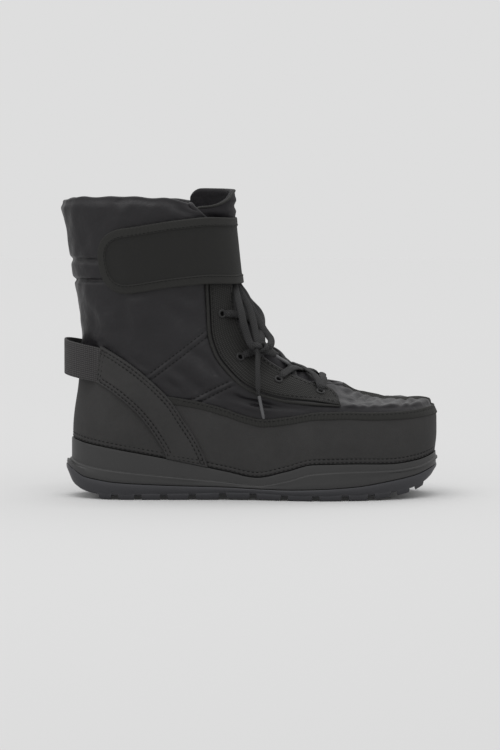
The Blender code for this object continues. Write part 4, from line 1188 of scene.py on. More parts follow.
class BOOT_OT_tongue(bpy.types.Operator):
    """Makes the padded tongue and the piping round its free top"""
    bl_idname = "boot.tongue"
    bl_label = "Tongue"

    def execute(self, context):
        share, turn = np.meshgrid(
            spread(TONGUE_LENGTH, 1.7, 3.0), spread(TONGUE_WIDTH, 1.3, 3.0), indexing="ij")
        level = np.linspace(5.6, 16.7, 200)
        lap = np.vstack([[(92, 74)], moved_sideways(smooth_line(THROAT_EDGE[1:11], 60), TONGUE_LAP)])
        lap = lap[lap[:, 0] > TONGUE_BACK_X]
        lap = np.vstack([lap, [(TONGUE_BACK_X, 222), (TONGUE_BACK_X, 290)]])
        edge = around_at_line(level, smooth_line(lap, 160))
        guess = 1 + (2 * turn - 1) * 0.35
        outer_side = -upper_place(np.full(turn.shape, 16.0), -guess)[..., 1]
        from_side = np.minimum(turn, 1 - turn) * TONGUE_WIDTH
        to_corner = TONGUE_CORNER - np.clip(from_side, 0, TONGUE_CORNER)
        round_off = TONGUE_CORNER - np.sqrt(TONGUE_CORNER**2 - to_corner**2)
        top = 16.66 - 0.85 * ease(2, 36, outer_side) - round_off / 14.0
        row = 5.7 + share * (top - 5.7)
        half = 1 - np.interp(row, level, edge)
        around = -(1 + (2 * turn - 1) * half)
        flat = upper_place(np.minimum(row, 15.4), around)[..., [0, 2]]
        ahead = beside(smooth_line(THROAT_EDGE, 160), flat)
        lean = 7.4 * ease(13.7, 14.7, row) * ease(2, 13, ahead)
        lean += 1.2 * ease(15.0, 16.2, row) * ease(4, 19, ahead)
        bulge = 3.2 * ease(6.8, 7.5, row) + 1.7 * ease(7.8, 10.6, row)
        lean += bulge * (1 - ease(12.6, 13.4, row)) * ease(0, 6, ahead)
        place = upper_place(row, around)
        away = np.minimum(np.minimum(share, 1 - share) * TONGUE_LENGTH, from_side)
        full = rolled(away, 3.0) * TONGUE_THICKNESS / 2
        waves = 0.35 * ripple(place, 20.0, 21) + 0.5 * ripple(place, 34.0, 22)
        fold = 0.9 * ease(15.0, 15.6, row) * np.sin(row * 9.0 + 2.0 * turn)
        middle = -(UPPER_WALL + GAP) - TONGUE_THICKNESS / 2 + lean
        soft = (waves + fold) * np.clip(away / 8, 0, 1) * ease(14.4, 15.4, row)
        uv = np.stack([turn * TONGUE_WIDTH, share * TONGUE_LENGTH], axis=-1)
        face = upper_point(row, around, middle + full + soft)
        back = upper_point(row, around, middle - full)
        piece = shell("padded_tongue", face, back, uv)
        nylon = nylon_finish("tongue nylon", colours().nylon, 0.22)
        finished(piece, nylon, "padded_nylon", "tongue", angle=60)
        border = np.concatenate([face[130:, 2], face[-3, 2:-2], face[130:, -3][::-1]])
        path = softened(smooth_line(border[::3], 260), 9)
        outward = path - path.mean(axis=0)
        cord = tube("tongue_piping", path, outward, 2.2, 2.2, sides=10)
        finished(cord, rib_finish("tongue piping", colours().trim, 0.0011), "piping")
        return {"FINISHED"}


# Panels on the upper
def rand_ends(across):
    """Place around the upper of the rand's two ends, which lie under the heel stays."""
    low = float(place_on_upper(-50.0, 40.0)[1])
    high = float(place_on_upper(-76.0, 80.0)[1])
    return low + (high - low) * across


def rand_place(along, across):
    end = rand_ends(across)
    around = -(end + along * (2 - 2 * end))
    top = row_at_height(around, lambda x: by_x(smooth_line(RAND_TOP, 80), x))
    return 0.03 + across * (top - 0.03), around


def rand_binding_place(along, across):
    around = rand_place(along, np.ones(along.shape))[1]
    line = smooth_line(RAND_TOP, 80)
    top = row_at_height(around, lambda x: by_x(line, x) + 0.4)
    low = row_at_height(around, lambda x: by_x(line, x) - 6.0)
    return low + across * (top - low), around


def counter_place(along, across):
    end = float(place_on_upper(-58.0, 40.0)[1])
    around = (2 * along - 1) * end
    lap = moved_sideways(smooth_line(STAY_UPPER, 80), -3.0)
    top = row_at_height(around, lambda x: np.minimum(COUNTER_TOP_Z, by_x(lap, x)))
    return 0.03 + across * (top - 0.03), around


def strip_place(lower, upper, side):
    """A band between two side-view lines."""
    def place(along, across):
        share = across[..., None]
        flat = along_line(lower, along) * (1 - share) + along_line(upper, along) * share
        row, around = place_on_upper(flat[..., 0], flat[..., 1])
        return row, side * around
    return place


def above_rim(line):
    """The part of a side-view line above the sole's rim."""
    return line[line[:, 1] > rim(line[:, 0]) + 0.6]


def stay_lines():
    lower, upper = above_rim(smooth_line(STAY_LOWER, 240)), above_rim(smooth_line(STAY_UPPER, 240))
    return lower[lower[:, 0] > -122.6], upper[upper[:, 0] > -119.8]


def eyestay_lines():
    close = PIPING_WIDTH - 0.4 - 1.6 * ease(0.88, 1.0, np.linspace(0, 1, 200))
    back = moved_sideways(smooth_line(EYESTAY_BACK, 200), close)
    edge = moved_sideways(smooth_line(EYESTAY_TIP + THROAT_EDGE[1:11], 220), 0.6)
    return back[::-1], edge[edge[:, 1] < 206]


def sewn(away):
    """Depth of the channels that two rows of stitches pull into a panel, from the distance to its edge."""
    return -0.32 * sum(np.exp(-(((away - stitches) / 0.6) ** 2)) for stitches in STITCH_ROWS)


def toe_relief(row, around):
    """The rand's top edge drawn in round the toe."""
    place = upper_place(row, around)
    return -1.5 * ease(118, 147, place[..., 0]) * ease(60, 75, place[..., 2]) ** 2


def foot_relief(row, around):
    """Unevenness of the rand and the counter, and the sewn channels above the sole."""
    place = upper_place(row, around)
    return 0.18 * ripple(place, 30.0, 31) + sewn(place[..., 2] - rim(place[..., 0])) + toe_relief(row, around)


def stay_relief(row, around):
    place = upper_place(row, around)
    lower, upper = stay_lines()
    flat = place[..., [0, 2]]
    channels = sewn(np.abs(beside(lower, flat))) + sewn(np.abs(beside(upper, flat)))
    return 0.18 * ripple(place, 30.0, 31) + channels


class BOOT_OT_panels(bpy.types.Operator):
    """Makes the coated rand and its binding, the vamp tape, the heel counter and the heel stays"""
    bl_idname = "boot.panels"
    bl_label = "Coated panels"

    def execute(self, context):
        finish = suede_finish("coated suede", colours().suede)
        rand = panel(
            "coated_rand", rand_place, 460.0, 40.0, 0.1, PANEL_TOP, 0.9, (1.7, 1.8), foot_relief, 8.0)
        finished(rand, finish, "coated_suede", "rand")
        binding = panel(
            "rand_binding", rand_binding_place, 460.0, 6.4, 1.2, 2.75, 0.8, (1.2, 0.8), toe_relief)
        finished(binding, rib_finish("rand binding", colours().trim, 0.0009), "piping")
        tape = panel(
            "vamp_tape", vamp_tape_place, 80.0, VAMP_TAPE, -1.8, 0.6, 0.8, (1.0, 0.8), lies_on=nylon_relief)
        finished(tape, rib_finish("vamp tape", colours().trim, 0.0012), "piping")
        counter = panel(
            "coated_counter", counter_place, 230.0, 50.0, 0.1, PANEL_TOP, 0.9, (1.7, 1.8), foot_relief, 8.0)
        finished(counter, finish, "coated_suede", "heel_counter")
        lower, upper = stay_lines()
        for side, sign in SIDES:
            stay = panel(
                f"coated_stay_{side}", strip_place(lower, upper, sign), 128.0, 32.0, STAY_BASE - 0.6,
                STAY_TOP, 1.0, (1.4, 1.4), stay_relief, 7.0)
            finished(stay, finish, "coated_suede", f"heel_stay_{side}")
        return {"FINISHED"}


class BOOT_OT_eyestays(bpy.types.Operator):
    """Makes the woven eyestays and the piping along them"""
    bl_idname = "boot.eyestays"
    bl_label = "Eyestays"

    def execute(self, context):
        weave = webbing_finish("grid weave", colours().webbing, sizes().weave)
        cord = rib_finish("corded piping", colours().trim, 0.0006)
        lower, upper = eyestay_lines()
        back = smooth_line(EYESTAY_BACK, 240)[::-1]
        for side, sign in SIDES:
            stay = panel(
                f"woven_eyestay_{side}", strip_place(lower, upper, sign), 190.0, 18.0, 0.1, PANEL_TOP, 0.8,
                (1.2, 1.0))
            finished(stay, weave, "grid_webbing", f"eyestay_{side}")
            row, around = place_on_upper(back[:, 0], back[:, 1])
            path = upper_point(row, sign * around, 1.3)
            size = np.interp(np.linspace(0, 190, len(path)), (0, 0.6, 4, 16), (0.15, 0.45, 0.62, 1.0))
            normal = upper_normal(row, sign * around)
            piping = tube(f"eyestay_piping_{side}", path, normal, 2.5, 2.5, 12, size)
            finished(piping, cord, "piping", f"piping_{side}")
        return {"FINISHED"}


# The strap, laid out flat and bent round the shaft
def strap_lengths():
    """Place around the shaft against the length along the strap's middle, from its outer end."""
    end = float(place_on_upper(STRAP_END_X + 3.6, 190.5)[1])
    around = np.linspace(end, 2 - end, 500)
    row = row_at_height(-around, lambda x: smooth_through(*zip(*STRAP_LINE), x))
    return around, lengths(upper_point(row, -around, 3.0))


STRAP_AROUND, STRAP_ALONG = strap_lengths()
STRAP_LENGTH = float(STRAP_ALONG[-1])


def strap_half_width(along):
    """Half width at a length from the outer end, with a round flat-tipped end at each side."""
    near = np.clip(np.minimum(along, STRAP_LENGTH - along) / STRAP_END_LENGTH, 0, 1)
    cosine = (1 - near) ** (1 / STRAP_ROUNDNESS)
    return STRAP_HALF_WIDTH * np.sqrt(1 - cosine**2) ** STRAP_ROUNDNESS


def strap_point(along, across, out):
    """A point of the strap from its flat lay-out, and its outward direction."""
    around = -np.interp(along, STRAP_ALONG, STRAP_AROUND)
    row = row_at_height(around, lambda x: smooth_through(*zip(*STRAP_LINE), x) + across)
    place = upper_place(row, around)
    climb = 2.5 * ease(-66, -44, place[..., 0])
    ahead = beside(smooth_line(THROAT_EDGE, 160), upper_place(np.minimum(row, 13.5), around)[..., [0, 2]])
    base = 0.5 + climb - 0.8 * ease(-2, 8, ahead)
    return upper_point(row, around, base + out), upper_normal(row, around)


def squared(value):
    """A sine or cosine drawn out towards its ends, which squares a round end."""
    return np.sign(value) * np.abs(value) ** STRAP_ROUNDNESS


def strap_outline(inset, count):
    """The strap's outline in its flat lay-out, moved inwards."""
    turn = np.linspace(0.5 * math.pi, 1.5 * math.pi, 60)
    end = np.column_stack([
        STRAP_END_LENGTH * (1 + squared(np.cos(turn))), STRAP_HALF_WIDTH * squared(np.sin(turn))])
    far = np.column_stack([STRAP_LENGTH - end[::-1, 0], end[::-1, 1]])
    outline = along_line(np.vstack([end, far, end[:1]]), np.linspace(0, 1, 900))[:-1]
    tangent = np.roll(outline, -3, axis=0) - np.roll(outline, 3, axis=0)
    tangent /= np.linalg.norm(tangent, axis=1)[:, None]
    inner = outline + inset * np.column_stack([-tangent[:, 1], tangent[:, 0]])
    return along_line(np.vstack([inner, inner[:1]]), np.linspace(0, 1, count))


class BOOT_OT_strap(bpy.types.Operator):
    """Makes the ankle strap, its ribbed binding and its stitches"""
    bl_idname = "boot.strap"
    bl_label = "Ankle strap"

    def execute(self, context):
        along = spread(STRAP_LENGTH, 1.5, 2.0) * STRAP_LENGTH
        across = spread(2 * STRAP_HALF_WIDTH, 1.5, 1.4) * 2 - 1
        along, across = np.meshgrid(along, across)
        half = strap_half_width(along)
        away = np.minimum((1 - np.abs(across)) * half, np.minimum(along, STRAP_LENGTH - along))
        full = rolled(away, 1.2) * (STRAP_THICKNESS - 0.5)
        face, _ = strap_point(along, across * half, 0.1 + full)
        back, _ = strap_point(along, across * half, np.full(full.shape, 0.1))
        uv = np.stack([along, across * half], axis=-1)
        strap = shell("woven_strap", face, back, uv)
        weave = webbing_finish("strap weave", colours().webbing, 0.0007, 0.00018)
        finished(strap, weave, "strap_webbing", "ankle_strap")
        steps = spread(STRAP_BINDING, 0.9, 0.8)
        rings = []
        backs = []
        for inset in steps * STRAP_BINDING:
            line = strap_outline(inset, 700)
            full = float(rolled(min(inset, STRAP_BINDING - inset), 0.8))
            rings.append(strap_point(line[:, 0], line[:, 1], np.full(700, 1.2 + 1.55 * full))[0])
            backs.append(strap_point(line[:, 0], line[:, 1], np.full(700, 1.2))[0])
        run = lengths(strap_outline(0.0, 700))
        uv = np.stack(np.broadcast_arrays(run[None, :], (steps * STRAP_BINDING)[:, None]), axis=-1)
        binding = shell("strap_binding", np.array(rings), np.array(backs), uv)
        finished(binding, rib_finish("strap binding", colours().trim, 0.0011), "strap_webbing")
        line = strap_outline(6.3, 1500)
        row = strap_point(line[:, 0], line[:, 1], np.full(1500, 2.7))
        thread = stitched("strap_stitches", [row], sizes().stitch / MM, 0.5)
        finished(thread, plain_finish("strap thread", colours().thread, 0.7, 900.0, 0.15), "strap_webbing")
        return {"FINISHED"}


class BOOT_OT_pull_loop(bpy.types.Operator):
    """Makes the webbing loop round the heel"""
    bl_idname = "boot.pull_loop"
    bl_label = "Pull loop"

    def execute(self, context):
        angle = np.linspace(-0.5 * math.pi, 0.5 * math.pi, 121)
        bend = np.clip(np.cos(angle), 0, 1) ** 0.75
        x = LOOP_X + (LOOP_BACK_X - LOOP_X) * bend
        y = LOOP_HALF_GAP * np.sign(angle) * np.abs(np.sin(angle)) ** 0.8
        z = LOOP_MIDDLE_Z[0] + (LOOP_MIDDLE_Z[1] - LOOP_MIDDLE_Z[0]) * bend
        path = np.column_stack([x, y, z])
        tuck_row, tuck_around = place_on_upper(np.array([-116.8, -120.2]), np.array([106.2, 107.4]))
        lateral = upper_point(tuck_row, -tuck_around, np.array([1.7, 2.3]))
        medial = upper_point(tuck_row, tuck_around, np.array([1.7, 2.3]))[::-1]
        path = smooth_line(np.vstack([lateral, path[::6], medial]), 190)
        tangent = np.gradient(path, axis=0)
        tangent[:, 2] = 0
        outward = np.cross(tangent, (0, 0, 1))
        outward /= np.linalg.norm(outward, axis=1)[:, None]
        outward *= np.sign((outward * (path - (-100, 0, 110))).sum(axis=1))[:, None]
        across = spread(LOOP_WIDTH, 1.0, 0.7)
        full = rolled(np.minimum(across, 1 - across) * LOOP_WIDTH, 0.7) * 0.9
        up = (across - 0.5) * LOOP_WIDTH
        height = np.stack([np.zeros(len(up)), np.zeros(len(up)), up], axis=-1)
        face = path[None] + height[:, None] + outward[None] * full[:, None, None]
        back = path[None] + height[:, None] - outward[None] * full[:, None, None]
        run = lengths(path)
        uv = np.stack(np.broadcast_arrays(run[None, :], up[:, None]), axis=-1)
        loop = shell("webbing_loop", face, back, uv)
        finished(loop, webbing_finish("loop webbing", colours().loop, 0.0016), "grid_webbing", "pull_loop")
        return {"FINISHED"}


class BOOT_OT_stitches(bpy.types.Operator):
    """Sews the panels: rows of stitches along their edges"""
    bl_idname = "boot.stitches"
    bl_label = "Stitches"

    def execute(self, context):
        rows = []
        around = -np.linspace(rand_ends(0.15), 2 - rand_ends(0.15), 900)
        line = smooth_line(RAND_TOP, 80)
        for height in STITCH_ROWS:
            above_rim = row_at_height(around, lambda x: rim(x) + height)
            rows.append(surface_row(above_rim, around, PANEL_TOP - 0.2))
        below_edge = row_at_height(around, lambda x: by_x(line, x) - 1.5)
        rows.append(surface_row(below_edge, around, 2.6 + toe_relief(below_edge, around)))
        end = float(place_on_upper(-70.0, 40.0)[1])
        around = np.linspace(-end, end, 600)
        for height in STITCH_ROWS:
            above_rim = row_at_height(around, lambda x: rim(x) + height)
            rows.append(surface_row(above_rim, around, PANEL_TOP - 0.2))
        lower, upper = stay_lines()
        eye_lower, eye_upper = eyestay_lines()
        for _, sign in SIDES:
            for inset in STITCH_ROWS:
                rows.append(side_row(moved_sideways(upper, -inset)[4:-2], sign, STAY_TOP - 0.2))
                rows.append(side_row(moved_sideways(lower, inset)[4:-2], sign, STAY_TOP - 0.2))
            for share in (0.015, 0.036):
                top = np.linspace(along_line(lower, share), along_line(upper, share), 60)
                rows.append(side_row(top[4:-4], sign, STAY_TOP - 0.2))
            for share in (0.955, 0.98):
                foot = np.linspace(along_line(lower, share), along_line(upper, share), 60)
                rows.append(side_row(foot[4:-4], sign, STAY_TOP - 0.2))
            rows.append(side_row(moved_sideways(eye_upper, 2.0)[6:], sign, PANEL_TOP + 0.05))
            rows.append(side_row(moved_sideways(eye_lower, -1.6)[5:], sign, PANEL_TOP + 0.05))
            for seam in LAPPED_SEAMS:
                for beside_seam in (-2.3, 2.3):
                    seam_line = moved_sideways(smooth_line(seam, 60), beside_seam)[2:-2]
                    row, around = place_on_upper(seam_line[:, 0], seam_line[:, 1])
                    rows.append(surface_row(row, sign * around, nylon_relief(row, sign * around) + 0.2))
        thread = stitched("panel_stitches", rows, sizes().stitch / MM)
        finished(thread, plain_finish("panel thread", colours().thread, 0.7, 900.0, 0.15), "coated_suede")
        return {"FINISHED"}


class BOOT_OT_eyelets(bpy.types.Operator):
    """Makes one eyelet and sets a copy of it in each hole"""
    bl_idname = "boot.eyelets"
    bl_label = "Eyelets"

    def execute(self, context):
        bpy.ops.object.select_all(action="DESELECT")
        bpy.ops.mesh.primitive_torus_add(
            major_radius=EYELET_RADIUS * MM, minor_radius=EYELET_WIRE * MM,
            major_segments=30, minor_segments=10)
        ring = context.object
        bpy.ops.object.mode_set(mode="EDIT")
        bpy.ops.transform.resize(value=(1, 1, 0.75))
        bpy.ops.object.mode_set(mode="OBJECT")
        bpy.ops.object.select_all(action="DESELECT")
        bpy.ops.mesh.primitive_cylinder_add(
            vertices=30, radius=EYELET_BORE * MM, depth=EYELET_DEPTH * MM, end_fill_type="NOTHING",
            location=(0, 0, -1.5 * MM))
        barrel = context.object
        bpy.ops.object.transform_apply(location=True, rotation=True, scale=True)
        shaped_by(barrel, "SOLIDIFY", thickness=0.3 * MM, offset=-1.0)
        eyelet = joined("eyelet", [ring, barrel])
        finish = plain_finish("eyelet enamel", colours().enamel, 0.48, 500.0, 0.3)
        # Painted shade: a near-black finish for a flat disc in each eyelet, standing in for the shadow inside
        # the hole
        painted_hole_shade = plain_finish("eyelet hole shade", shade(colours().enamel, 0.1)[:3], 0.9, 500.0, 0.05)
        for side, sign in SIDES:
            copies = []
            for x, z in EYELETS:
                row, around = (np.array([v]) for v in place_on_upper(x, z))
                normal = Vector(upper_normal(row, sign * around)[0])
                point = Vector(placed(upper_point(row, sign * around, PANEL_TOP + 0.35))[0])
                copy = eyelet.copy()
                copy.data = eyelet.data.copy()
                turned = normal.to_track_quat("Z", "Y").to_matrix().to_4x4()
                copy.data.transform(Matrix.Translation(point) @ turned)
                context.scene.collection.objects.link(copy)
                copies.append(copy)
            rings = joined(f"eyelets_{side}", copies)
            finished(rings, finish, "eyelet_enamel", *(f"eyelet_{side}_{n}" for n in range(1, 5)))
            # A near-black disc in each eyelet: painted shade where the hole would be dark
            finished(self.hole_shade_discs(side, sign), painted_hole_shade, "eyelet_enamel")
        bpy.data.objects.remove(eyelet)
        return {"FINISHED"}

    def hole_shade_discs(self, side, sign):
        """Painted shade in each eyelet: a near-black disc just above the panel, in place of the shadow inside
        the hole.
        """
        points, faces = [], []
        for x, z in EYELETS:
            row, around = (np.array([v]) for v in place_on_upper(x, z))
            normal = upper_normal(row, sign * around)[0]
            along = np.cross(normal, (0.0, 0.0, 1.0))
            along /= np.linalg.norm(along)
            up = np.cross(normal, along)
            faces.append(tuple(range(len(points), len(points) + 20)))
            for turn in np.linspace(0, 2 * math.pi, 20, endpoint=False):
                reach = along * math.cos(turn) + up * math.sin(turn)
                points.append(upper_point(row, sign * around, PANEL_TOP + 0.2)[0] + reach * EYELET_BORE)
        return faces_piece(f"eyelet_hole_shade_{side}", np.array(points), faces)


# The lace
def inside_upper(points):
    row, around = place_on_upper(points[:, 0], points[:, 2])
    edge = upper_place(row, around)
    width = edge[:, 1] - swing(edge[:, 0])
    behind = points[:, 0] < section_value("front_x", row)
    return behind & (np.abs(points[:, 1] - swing(points[:, 0])) < width)


def lace_run(start, finish, side, over_tongue, rise, tucked=False):
    """From an eyelet, or from under its eyestay, over the tongue and into an eyelet on the other side."""
    ends = [on_upper(start, side, 0.0), on_upper(finish, -side, 0.0)]
    normals = []
    for (x, z), sign in ((start, side), (finish, -side)):
        row, around = place_on_upper(x, z)
        normals.append(upper_normal(row, sign * around))
    up = sum(normals) / np.linalg.norm(sum(normals))
    t = np.linspace(0.008, 0.992, 25)
    base = ends[0] + (ends[1] - ends[0]) * t[:, None]
    low, high = np.zeros(25), np.full(25, 80.0)
    for _ in range(26):
        middle = (low + high) / 2
        inside = inside_upper(base + up * middle[:, None])
        low = np.where(inside, middle, low)
        high = np.where(inside, high, middle)
    on_top = base + up * low[:, None]
    apart = np.abs(2 * t - 1)
    lift = over_tongue + rise * (1 - ease(0.0, 0.35, apart))
    lift += (PANEL_TOP + 1.8 - over_tongue) * ease(0.0, 0.62, apart)
    lift -= 3.2 * ease(0.93, 0.985, apart)
    if tucked:
        under = over_tongue - 5.0 * ease(0.5, 0.95, apart)
        lift = np.where(t < 0.5, under + rise * (1 - ease(0.0, 0.35, apart)), lift)
    row, around = place_on_upper(on_top[:, 0], on_top[:, 2])
    around = around * np.where(on_top[:, 1] < swing(on_top[:, 0]), -1, 1)
    path = smooth_line(upper_point(row, around, lift), 130)
    return path, along_line(upper_normal(row, around), np.linspace(0, 1, 130))


def into_knot(route, both):
    """The route with its start, and for a loop its end too, run on into the knot."""
    middle = np.array(KNOT_MIDDLE)
    start = route[0] + (middle - route[0]) * (0.55 if both else 0.85)
    finish = route[-1] + (middle - route[-1]) * 0.55
    return np.vstack([start, route, finish] if both else [start, route])


def lace_taper(count, narrow=0.56):
    near = np.minimum(np.arange(count), np.arange(count)[::-1]) / 9
    return narrow + (1 - narrow) * ease(0, 1, near)


class BOOT_OT_lace(bpy.types.Operator):
    """Laces the boot: crossings, bow loops, free ends, knot and tips"""
    bl_idname = "boot.lace"
    bl_label = "Lace"

    def execute(self, context):
        wide, thick = sizes().lace_width / MM, sizes().lace_thickness / MM
        cord = cord_finish("braided lace", colours().lace, length_round(wide, thick) * MM)
        pieces = {}
        for name, route in LACE_ROUTES.items():
            route = into_knot(np.array(route, float), "loop" in name)
            path = softened(smooth_line(route, max(40, int(lengths(route)[-1] / 0.7))), 7)
            size = np.ones(len(path))
            if "end" in name:
                size[-9:] = np.linspace(1.0, 0.42, 9)
            face = END_FACE if "end" in name else BOW_FACE
            piece = tube(name.replace("lace", "braided"), path, face, wide, thick, 18, size)
            pieces[name] = (piece, path)
        self.knot(cord, wide, thick, pieces.pop("lace_end_inner")[0])
        for name, (piece, _) in pieces.items():
            finished(piece, cord, "lace_cord", name, angle=70)
        runs = [lace_run(EYELETS[0], EYELETS[0], -1, -0.6, 0.0)]
        for lower, upper, lift in zip(LACE_STARTS, EYELETS[1:], LACE_LIFTS):
            runs.append(lace_run(lower, upper, -1, lift, 1.3, lower not in EYELETS))
            runs.append(lace_run(lower, upper, 1, lift, -0.5, lower not in EYELETS))
        made = []
        for number, (path, up) in enumerate(runs):
            made.append(tube(f"run_{number}", path, up, wide, thick, 18, lace_taper(len(path))))
        finished(joined("braided_crossings", made), cord, "lace_cord", "lace_crossings", angle=70)
        tips = {}
        for name, ends in AGLETS.items():
            path = along_line(np.array(ends, float), np.linspace(0, 1, 24))
            size = np.interp(np.linspace(0, 1, 24), (0, 0.04, 0.9, 1.0), (0.86, 1.0, 0.94, 0.6))
            tip = tube(name.replace("aglet", "film_tip"), path, (0.3, -0.8, 0.5), *AGLET_SIZE, 14, size)
            finished(tip, plain_finish("film tip", colours().tip, 0.30, 300.0), "aglet_plastic", name)
            tips[name] = tip
        self.declare(pieces, tips)
        return {"FINISHED"}

    def knot(self, cord, wide, thick, stub):
        turn = np.linspace(0, 2 * math.pi, 161)
        coil = np.column_stack([
            np.sin(turn) + 2 * np.sin(2 * turn), np.cos(turn) - 2 * np.cos(2 * turn),
            -1.6 * np.sin(3 * turn)])
        path = coil[:, [0, 2, 1]] * (2.0, 1.4, 1.6) + KNOT_MIDDLE
        outward = path - KNOT_MIDDLE + (0.0, -0.01, 0.0)
        piece = tube("braided_knot", path, outward, wide * 0.9, thick * 1.1, 18)
        piece = joined("braided_knot", [piece, stub])
        finished(piece, cord, "lace_cord", "lace_knot", "lace_end_inner", angle=70)

    def declare(self, pieces, tips):
        for name, (piece, path) in pieces.items():
            loop = "loop" in name


# The sole
def sole_ring(out, line, shift=0.0, columns=321):
    """A plan outline round the sole, at a height that follows one of the sole's lines."""
    around = np.linspace(-1, 1, columns)
    edge = upper_place(np.zeros(columns), around)
    distance = out(edge[:, 0]) if callable(out) else np.full(columns, float(out))
    points = edge + upper_normal(np.zeros(columns), around) * distance[:, None]
    points[:, 2] = line(edge[:, 0]) + shift
    return points


def plan_grid(edge, height, across):
    """A plan outline filled from side to side, at a height worked out from x."""
    half = len(edge) // 2
    share = np.linspace(0, 1, across + 1)
    outer, inner = edge[half::-1], edge[half:]
    grid = outer[:, None] * (1 - share[None, :, None]) + inner[:, None] * share[None, :, None]
    grid[:, 1:-1, 2] = height(grid[:, 1:-1, 0])
    return grid


class BOOT_OT_sole(bpy.types.Operator):
    """Makes the midsole, the outsole with its lugs, and the insole"""
    bl_idname = "boot.sole"
    bl_label = "Sole"

    def execute(self, context):
        self.midsole()
        self.outsole()
        self.insole()
        return {"FINISHED"}

    def midsole(self):
        def between(share):
            return lambda x: tread(x) + (step(x) - tread(x)) * share

        profile = [
            (lambda x: flare(x) - 0.9, tread, 0.0), (lambda x: flare(x) - 0.25, tread, 0.15),
            (flare, tread, 0.8),
            (lambda x: flare(x) - 0.1, between(0.35), 0.0), (lambda x: flare(x) - 0.3, between(0.7), 0.0),
            (RIM_LAP + 1.5, step, -1.5), (RIM_LAP + 1.48, step, -0.9), (RIM_LAP + 1.3, step, -0.45),
            (RIM_LAP + 0.95, step, -0.12), (RIM_LAP + 0.4, step, 0.05), (RIM_LAP + 0.12, step, 0.3),
            (RIM_LAP + 0.1, step, 1.4),
            (RIM_LAP + 0.05, rim, -2.0), (RIM_LAP, rim, -0.1), (RIM_LAP - 0.12, rim, 0.4),
            (RIM_LAP - 0.4, rim, 0.6), (RIM_LAP - 0.68, rim, 0.4), (RIM_LAP - 0.8, rim, 0.0),
            (-1.0, rim, 0.0), (-4.5, rim, -0.2), (-4.9, bed, 0.0)]
        rings = np.array([sole_ring(*ring) for ring in profile])
        side = grid_piece("midsole_side", rings)
        foot = grid_piece("midsole_foot", plan_grid(rings[0], tread, 12))
        top = grid_piece("midsole_bed", plan_grid(rings[-1], bed, 12))
        piece = welded(joined("cup_midsole", [side, foot, top]))
        rubber = rubber_finish("sidewall rubber", colours().sidewall, 0.5)
        finished(piece, rubber, "sidewall_rubber", "midsole", angle=35)

    def outsole(self):
        def level(share):
            return lambda x: tread_base(x) + (tread(x) - GAP - tread_base(x)) * share

        profile = [
            (lambda x: flare(x) - 2.6, tread_base, 0.0), (lambda x: flare(x) - 1.5, tread_base, 0.12),
            (lambda x: flare(x) - 0.6, tread_base, 0.8), (lambda x: flare(x) + 0.25, level(0.4), 0.0),
            (lambda x: flare(x) + 0.5, level(0.65), 0.0), (lambda x: flare(x) + 0.45, level(0.88), 0.0),
            (lambda x: flare(x) + 0.1, level(0.97), 0.0), (lambda x: flare(x) - 0.6, level(1.0), 0.0)]
        rings = np.array([sole_ring(*ring) for ring in profile])
        side = grid_piece("outsole_side", rings)
        foot = grid_piece("outsole_foot", plan_grid(rings[0], tread_base, 12))
        top = grid_piece("outsole_top", plan_grid(rings[-1], level(1.0), 12))
        body = welded(joined("outsole_body", [side, foot, top]))
        piece = joined("lugged_outsole", [body, self.lugs()])
        rubber = rubber_finish("tread rubber", colours().tread, 0.46, 420.0)
        finished(piece, rubber, "tread_rubber", "outsole", angle=35)

    def lugs(self):
        """Blocks under the tread: a net of cells, the wide ones inset, let down to the floor and rounded."""
        edge = sole_ring(lambda x: flare(x) - 0.1, tread_base, 0.0, LUG_COLUMNS + 1)
        net = plan_grid(edge, tread_base, 4)[1:-1]
        points, faces = [], []
        for k in range(len(net) - 1):
            for c in range(4):
                cell = np.array([net[k, c], net[k, c + 1], net[k + 1, c + 1], net[k + 1, c]])
                if min(np.linalg.norm(np.roll(cell, 1, axis=0) - cell, axis=1)) < LUG_LEAST:
                    continue
                long = LUG_INSET / np.linalg.norm(cell[3] - cell[0])
                wide = (LUG_INSET - 0.6) / np.linalg.norm(cell[1] - cell[0])
                first, last = 0.0 if c == 0 else wide, 1.0 if c == 3 else 1 - wide
                faces.append(tuple(range(len(points), len(points) + 4)))
                for run, turn in ((long, first), (long, last), (1 - long, last), (1 - long, first)):
                    back = cell[0] * (1 - turn) + cell[1] * turn
                    front = cell[3] * (1 - turn) + cell[2] * turn
                    points.append(back * (1 - run) + front * run + (0, 0, 1.8))
        piece = faces_piece("lugs", np.array(points), faces)
        bpy.ops.object.mode_set(mode="EDIT")
        bpy.ops.mesh.select_all(action="SELECT")
        bpy.ops.mesh.extrude_region_move(TRANSFORM_OT_translate={"value": (0, 0, -2 * MM)})
        bpy.ops.mesh.inset(thickness=0.7 * MM, use_individual=True)
        bpy.ops.object.mode_set(mode="OBJECT")
        for face in [f for f in piece.data.polygons if f.select]:
            for index in face.vertices:
                vertex = piece.data.vertices[index]
                vertex.co.z = ground(vertex.co.x / MM + ORIGIN[0]) * MM
        bpy.ops.object.mode_set(mode="EDIT")
        bpy.ops.mesh.inset(thickness=2.2 * MM, use_individual=True)
        bpy.ops.transform.translate(value=(0, 0, 1.0 * MM))
        bpy.ops.mesh.select_all(action="SELECT")
        bpy.ops.mesh.normals_make_consistent(inside=False)
        bpy.ops.object.mode_set(mode="OBJECT")
        shaped_by(
            piece, "BEVEL", width=0.35 * MM, segments=2, limit_method="ANGLE", angle_limit=math.radians(40))
        return piece

